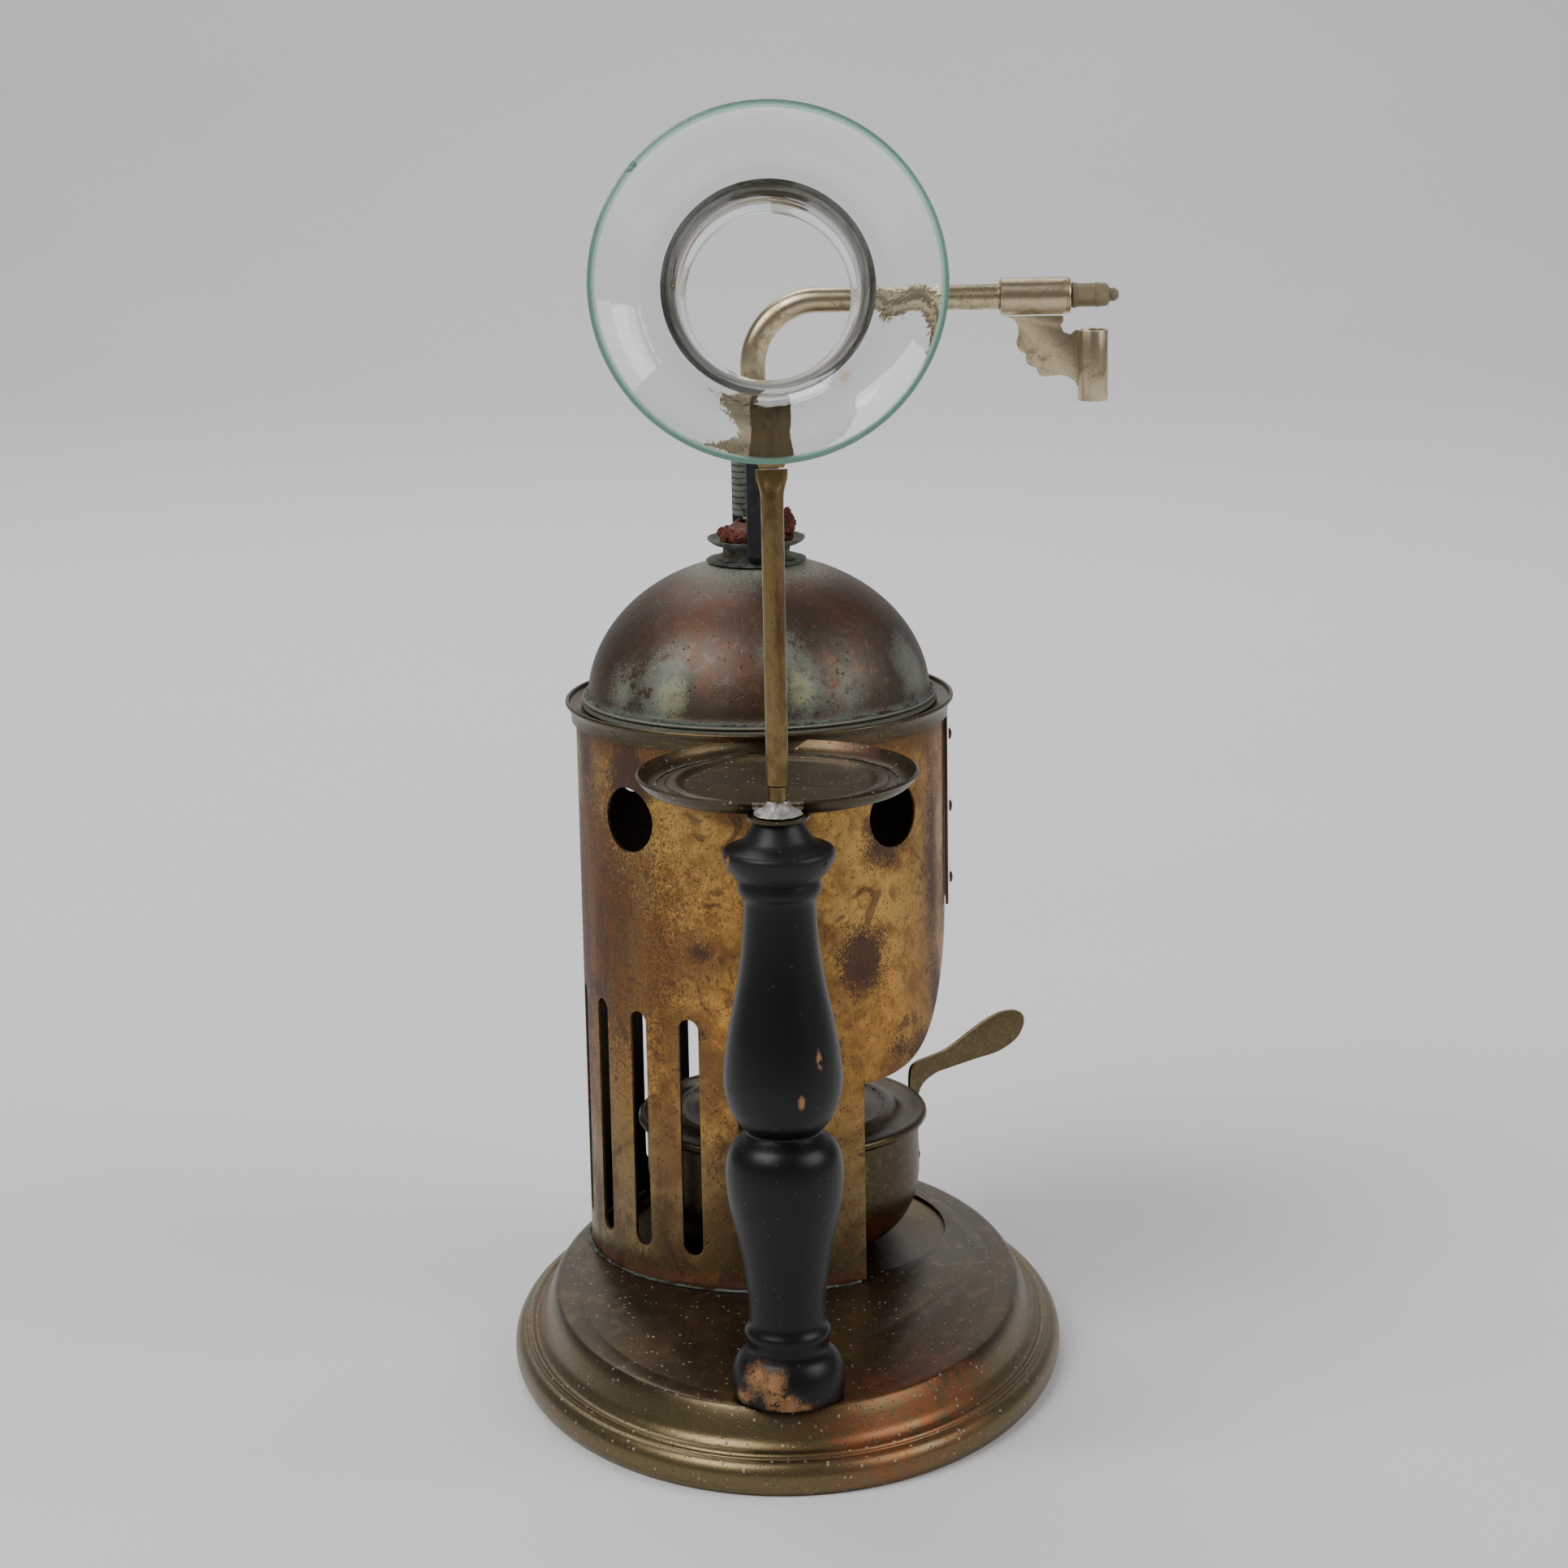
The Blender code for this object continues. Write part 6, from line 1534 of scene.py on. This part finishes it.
class INHALER_OT_lamp(bpy.types.Operator):
    """Spirit lamp: reservoir, stepped lid, wick tube, wick and draw-out handle"""
    bl_idname = "inhaler.lamp"
    bl_label = "Spirit lamp"

    def execute(self, context):
        rounding = 13.0 * MM
        tall = rounding * 1.15
        side = [(LAMP_RADIUS - rounding + rounding * sin(a), LAMP_FOOT + tall * (1 - cos(a)))
                for a in [pi / 2 * i / 16 for i in range(17)]]
        side += [(LAMP_RADIUS, LAMP_FOOT + tall + (LAMP_TOP - LAMP_FOOT - tall) * i / 4) for i in range(1, 5)]
        wall = 0.7 * MM
        both = walled(side, -wall)
        pot = solid("lamp_pot", LAMP, both, 128)
        done(pot, "lamp", "stained_brass", look("stained_brass_lamp"), "lamp_reservoir")

        under = LAMP_TOP + GAP
        deck = under + 2.1 * MM
        bead = LID_RADIUS - 1.0 * MM
        skirt = LAMP_RADIUS - 1.1 * MM
        rolled = arc((LID_RADIUS - 1.05 * MM, under + 1.2 * MM), 1.05 * MM, -80, 130, 10)
        ring_one = rounded([(bead - 1.8 * MM, deck - 0.1 * MM), (bead * 0.88, deck - 0.25 * MM),
                            (bead * 0.84, deck), (bead * 0.80, deck + 0.85 * MM),
                            (bead * 0.75, deck + 1.15 * MM)], 4)
        ring_two = rounded([(bead * 0.70, deck + 0.7 * MM), (bead * 0.62, deck + 0.75 * MM),
                            (bead * 0.52, deck + 1.3 * MM), (bead * 0.45, deck + 2.25 * MM),
                            (bead * 0.38, deck + 2.5 * MM)], 4)
        hole = 6.4 * MM
        face = [(skirt, under - 4.4 * MM), (skirt, under), (bead, under)] + rolled + ring_one + ring_two
        below = [(r, z - 0.7 * MM) for r, z in (ring_one + ring_two)[::-1]]
        profile = face + [(hole, deck + 2.6 * MM), (hole, deck + 1.9 * MM)] + below + [(skirt - wall,
                                                                                        deck - 0.8 * MM),
                                                                                       (skirt - wall,
                                                                                        under - 4.4 * MM)]
        lid = lathe("lid_pressing", LAMP, profile, 128)
        done(lid, "burner", "stained_brass", look("stained_brass_lamp"), "lamp_lid", angle=30)
        crust_ring("lid_scale", LAMP, bead * 0.72, deck + 0.72 * MM, 1.2 * MM, 0.3 * MM, "burner")

        tube_foot, tube_top = foot("wick_tube"), top("wick_tube")
        lid_top = deck + 2.6 * MM
        inner = 5.3 * MM
        profile = [(inner, tube_foot), (6.1 * MM, tube_foot)]
        profile += mm([(6.1, 0.3), (8.1, 0.3), (8.3, 0.65), (8.1, 1.0), (6.3, 1.1), (6.1, 1.6)], up=lid_top)
        profile += mm([(6.1, -0.8), (6.35, -0.5), (6.1, 0), (5.3, 0)], up=tube_top)
        tube = lathe("wick_tube_turning", LAMP, profile, 64)
        done(tube, "burner", "pale_bronze", look("pale_bronze_wick_tube"), "wick_tube", angle=30)

        strands = [(inner - 0.4 * MM, foot("wick")), (inner - 0.3 * MM, tube_top),
                   (inner - 0.5 * MM, tube_top + 1.6 * MM), (3.9 * MM, tube_top + 2.4 * MM),
                   (1.6 * MM, top("wick") - 0.3 * MM)]
        wick = solid("wick_braid", LAMP, strands, 96)
        apply(wick, "SUBSURF", levels=2, render_levels=2, subdivision_type="SIMPLE")
        ripple(wick, 0.5 * MM, 0.9 * MM, 3)
        done(wick, "burner", "cotton_wick", look("cotton_wick"), "wick", angle=60)
        make_handle()
        return {"FINISHED"}


def make_handle():
    """Strip riveted to the reservoir's side, swept up to a paddle, on edge throughout."""
    turn = radians(118)
    side = LAMP_RADIUS + GAP
    sheet = 1.0 * MM
    heel = side + sheet
    reach = LAMP_RADIUS + 33.0 * MM
    lower = [(heel, -15.4), (heel + 1.0 * MM, -14.0), (LID_RADIUS + 1.7 * MM, -6.7),
             (LID_RADIUS + 3.2 * MM, 1.0), (LID_RADIUS + 7.0 * MM, 3.9), (reach - 20 * MM, 4.7),
             (reach - 13 * MM, 5.7), (reach - 7 * MM, 6.5), (reach - 2.4 * MM, 8.6),
             (reach - 0.4 * MM, 11.2)]
    upper = [(reach - 0.1 * MM, 13.6), (reach - 1.6 * MM, 15.3), (reach - 4.6 * MM, 15.75),
             (reach - 8 * MM, 15.2), (reach - 13 * MM, 13.1), (reach - 20 * MM, 9.4),
             (LID_RADIUS + 7.0 * MM, 8.3), (LID_RADIUS + 2.6 * MM, 7.4), (LID_RADIUS + 0.7 * MM, 5.4),
             (LID_RADIUS + 0.5 * MM, -1.4), (heel + 1.0 * MM, -8.0), (heel, -9.6)]
    smooth = rounded([(r, LAMP_TOP + z * MM) for r, z in lower + upper], 5)
    blade = outline("handle_blade", [(r, -sheet / 2, z) for r, z in smooth], (0, sheet, 0))
    blade.rotation_euler = (0, 0, turn - pi / 2)
    blade.location = (LAMP.x, LAMP.y, 0)
    place_now(blade)
    middle = LAMP_TOP - 12.5 * MM
    plate = lathe("handle_foot", LAMP, [(side, middle - 3.5 * MM), (heel + 0.2 * MM, middle - 3.5 * MM),
                                        (heel + 0.2 * MM, middle + 3.5 * MM), (side, middle + 3.5 * MM)],
                  240)
    spread = 7.0 * MM / side * 360 / tau
    keep_span(plate, LAMP, 118 - spread, 118 + spread)
    cut(blade, plate, "UNION")
    ease(blade, 0.22 * MM, 3, 50)
    done(blade, "lamp", "stained_brass", look("stained_brass_handle"), "lamp_handle")
    for i, step in enumerate((-9.0, 9.0)):
        make_rivet(f"handle_stud_{i + 1}", f"handle_rivet_{i + 1}", 118 + step, "lamp", "stained_brass")


class INHALER_OT_studio(bpy.types.Operator):
    """Pale floor that sweeps up into a backdrop, soft lights and the camera"""
    bl_idname = "inhaler.studio"
    bl_label = "Studio"

    def execute(self, context):
        settings = context.scene.inhaler_studio
        start()
        bpy.ops.mesh.primitive_plane_add(size=2.0, location=(0, 0, 0))
        floor = name_it("studio_floor")
        floor.scale = (3.0, 1.6, 1)
        place_now(floor)
        bpy.ops.object.mode_set(mode="EDIT")
        bpy.ops.mesh.select_mode(type="EDGE")
        bpy.ops.mesh.select_all(action="DESELECT")
        bpy.ops.object.mode_set(mode="OBJECT")
        for line in floor.data.edges:
            line.select = all(floor.data.vertices[v].co.y > 1.5 for v in line.vertices)
        bpy.ops.object.mode_set(mode="EDIT")
        bpy.ops.mesh.spin(steps=24, angle=-radians(80), center=(0, 1.6, 1.2), axis=(1, 0, 0))
        bpy.ops.mesh.extrude_region_move(TRANSFORM_OT_translate={"value": (0, 0.4, 2.0)})
        bpy.ops.object.mode_set(mode="OBJECT")
        bpy.ops.object.shade_smooth()
        paper, paint, shader = new_look("studio_paper")
        tint = paint.blend(paint.band(paint.noise(9, 5, 0.6), 0.3, 0.7), tuple(settings.floor),
                           tuple(c * 0.97 for c in settings.floor))
        wrap_up(paint, shader, tint, 0.85, 0.0, paint.noise(420, 4, 0.6), 0.2 * MM, 0.12)
        floor.data.materials.append(paper)

        for name, place, aim, size, power in (("key_light", (-0.75, -0.55, 1.15), (0, 0, 0.12), 0.9,
                                               settings.key_power),
                                              ("fill_light", (0.95, -0.35, 0.75), (0, 0, 0.12), 0.7,
                                               settings.fill_power),
                                              ("back_light", (-0.3, 0.95, 1.3), (0, 0, 0.15), 0.8,
                                               settings.fill_power),
                                              ("backdrop_light", (0, 0.7, 1.9), (0, 2.6, 1.0), 1.2,
                                               settings.key_power * 2.0)):
            make_light(name, place, aim, size, power)
        world = bpy.data.worlds.new("studio_air")
        context.scene.world = world
        world.use_nodes = True
        air = world.node_tree.nodes["Background"]
        air.inputs["Color"].default_value = (0.80, 0.81, 0.83, 1)
        air.inputs["Strength"].default_value = 0.22
        make_camera()
        return {"FINISHED"}


def make_light(name, place, aim, size, power):
    """Large soft light turned towards a point."""
    lamp = bpy.data.lights.new(name, "AREA")
    lamp.shape = "RECTANGLE"
    lamp.size = size
    lamp.size_y = size * 0.8
    lamp.energy = power
    light = bpy.data.objects.new(name, lamp)
    bpy.context.scene.collection.objects.link(light)
    light.location = place
    light.rotation_euler = (Vector(aim) - Vector(place)).to_track_quat("-Z", "Y").to_euler()


def make_camera():
    """Camera a little above the funnel, looking down at the whole height."""
    lens = bpy.data.cameras.new("camera")
    lens.sensor_width = 36.0
    lens.lens = 85.87
    lens.shift_x = 0.0042
    lens.shift_y = 0.02655
    lens.clip_start = 0.05
    camera = bpy.data.objects.new("camera", lens)
    bpy.context.scene.collection.objects.link(camera)
    camera.location = (-7.69 * MM, -764.49 * MM, 305.8 * MM)
    tilt = Matrix.Rotation(radians(90 - 13.84), 3, "X") @ Matrix.Rotation(radians(-1.08), 3, "Z")
    camera.rotation_euler = tilt.to_euler()
    bpy.context.scene.camera = camera


pieces = (INHALER_OT_base, INHALER_OT_column, INHALER_OT_tray, INHALER_OT_chimney, INHALER_OT_rim,
          INHALER_OT_boiler, INHALER_OT_valve, INHALER_OT_steam_arm, INHALER_OT_rod, INHALER_OT_glass,
          INHALER_OT_lamp, INHALER_OT_studio)


class INHALER_PT_panel(bpy.types.Panel):
    """Sizes, colours and every piece of the inhaler"""
    bl_idname = "INHALER_PT_panel"
    bl_label = "Steam inhaler"
    bl_space_type = "VIEW_3D"
    bl_region_type = "UI"
    bl_category = "Inhaler"

    def draw(self, context):
        for group in (context.scene.inhaler_chimney, context.scene.inhaler_colours,
                      context.scene.inhaler_studio):
            box = self.layout.box()
            for name in group.bl_rna.properties.keys():
                if name not in ("rna_type", "name"):
                    box.prop(group, name)
        for piece in pieces:
            self.layout.operator(piece.bl_idname)


classes = (ChimneySizes, FinishColours, StudioSettings) + pieces + (INHALER_PT_panel,)


def register():
    for kind in classes:
        bpy.utils.register_class(kind)
    bpy.types.Scene.inhaler_chimney = PointerProperty(type=ChimneySizes)
    bpy.types.Scene.inhaler_colours = PointerProperty(type=FinishColours)
    bpy.types.Scene.inhaler_studio = PointerProperty(type=StudioSettings)


def unregister():
    for name in ("inhaler_chimney", "inhaler_colours", "inhaler_studio"):
        delattr(bpy.types.Scene, name)
    for kind in reversed(classes):
        bpy.utils.unregister_class(kind)


def main():
    register()
    for piece in pieces:
        group, verb = piece.bl_idname.split(".")
        getattr(getattr(bpy.ops, group), verb)()


if __name__ == "__main__":
    main()
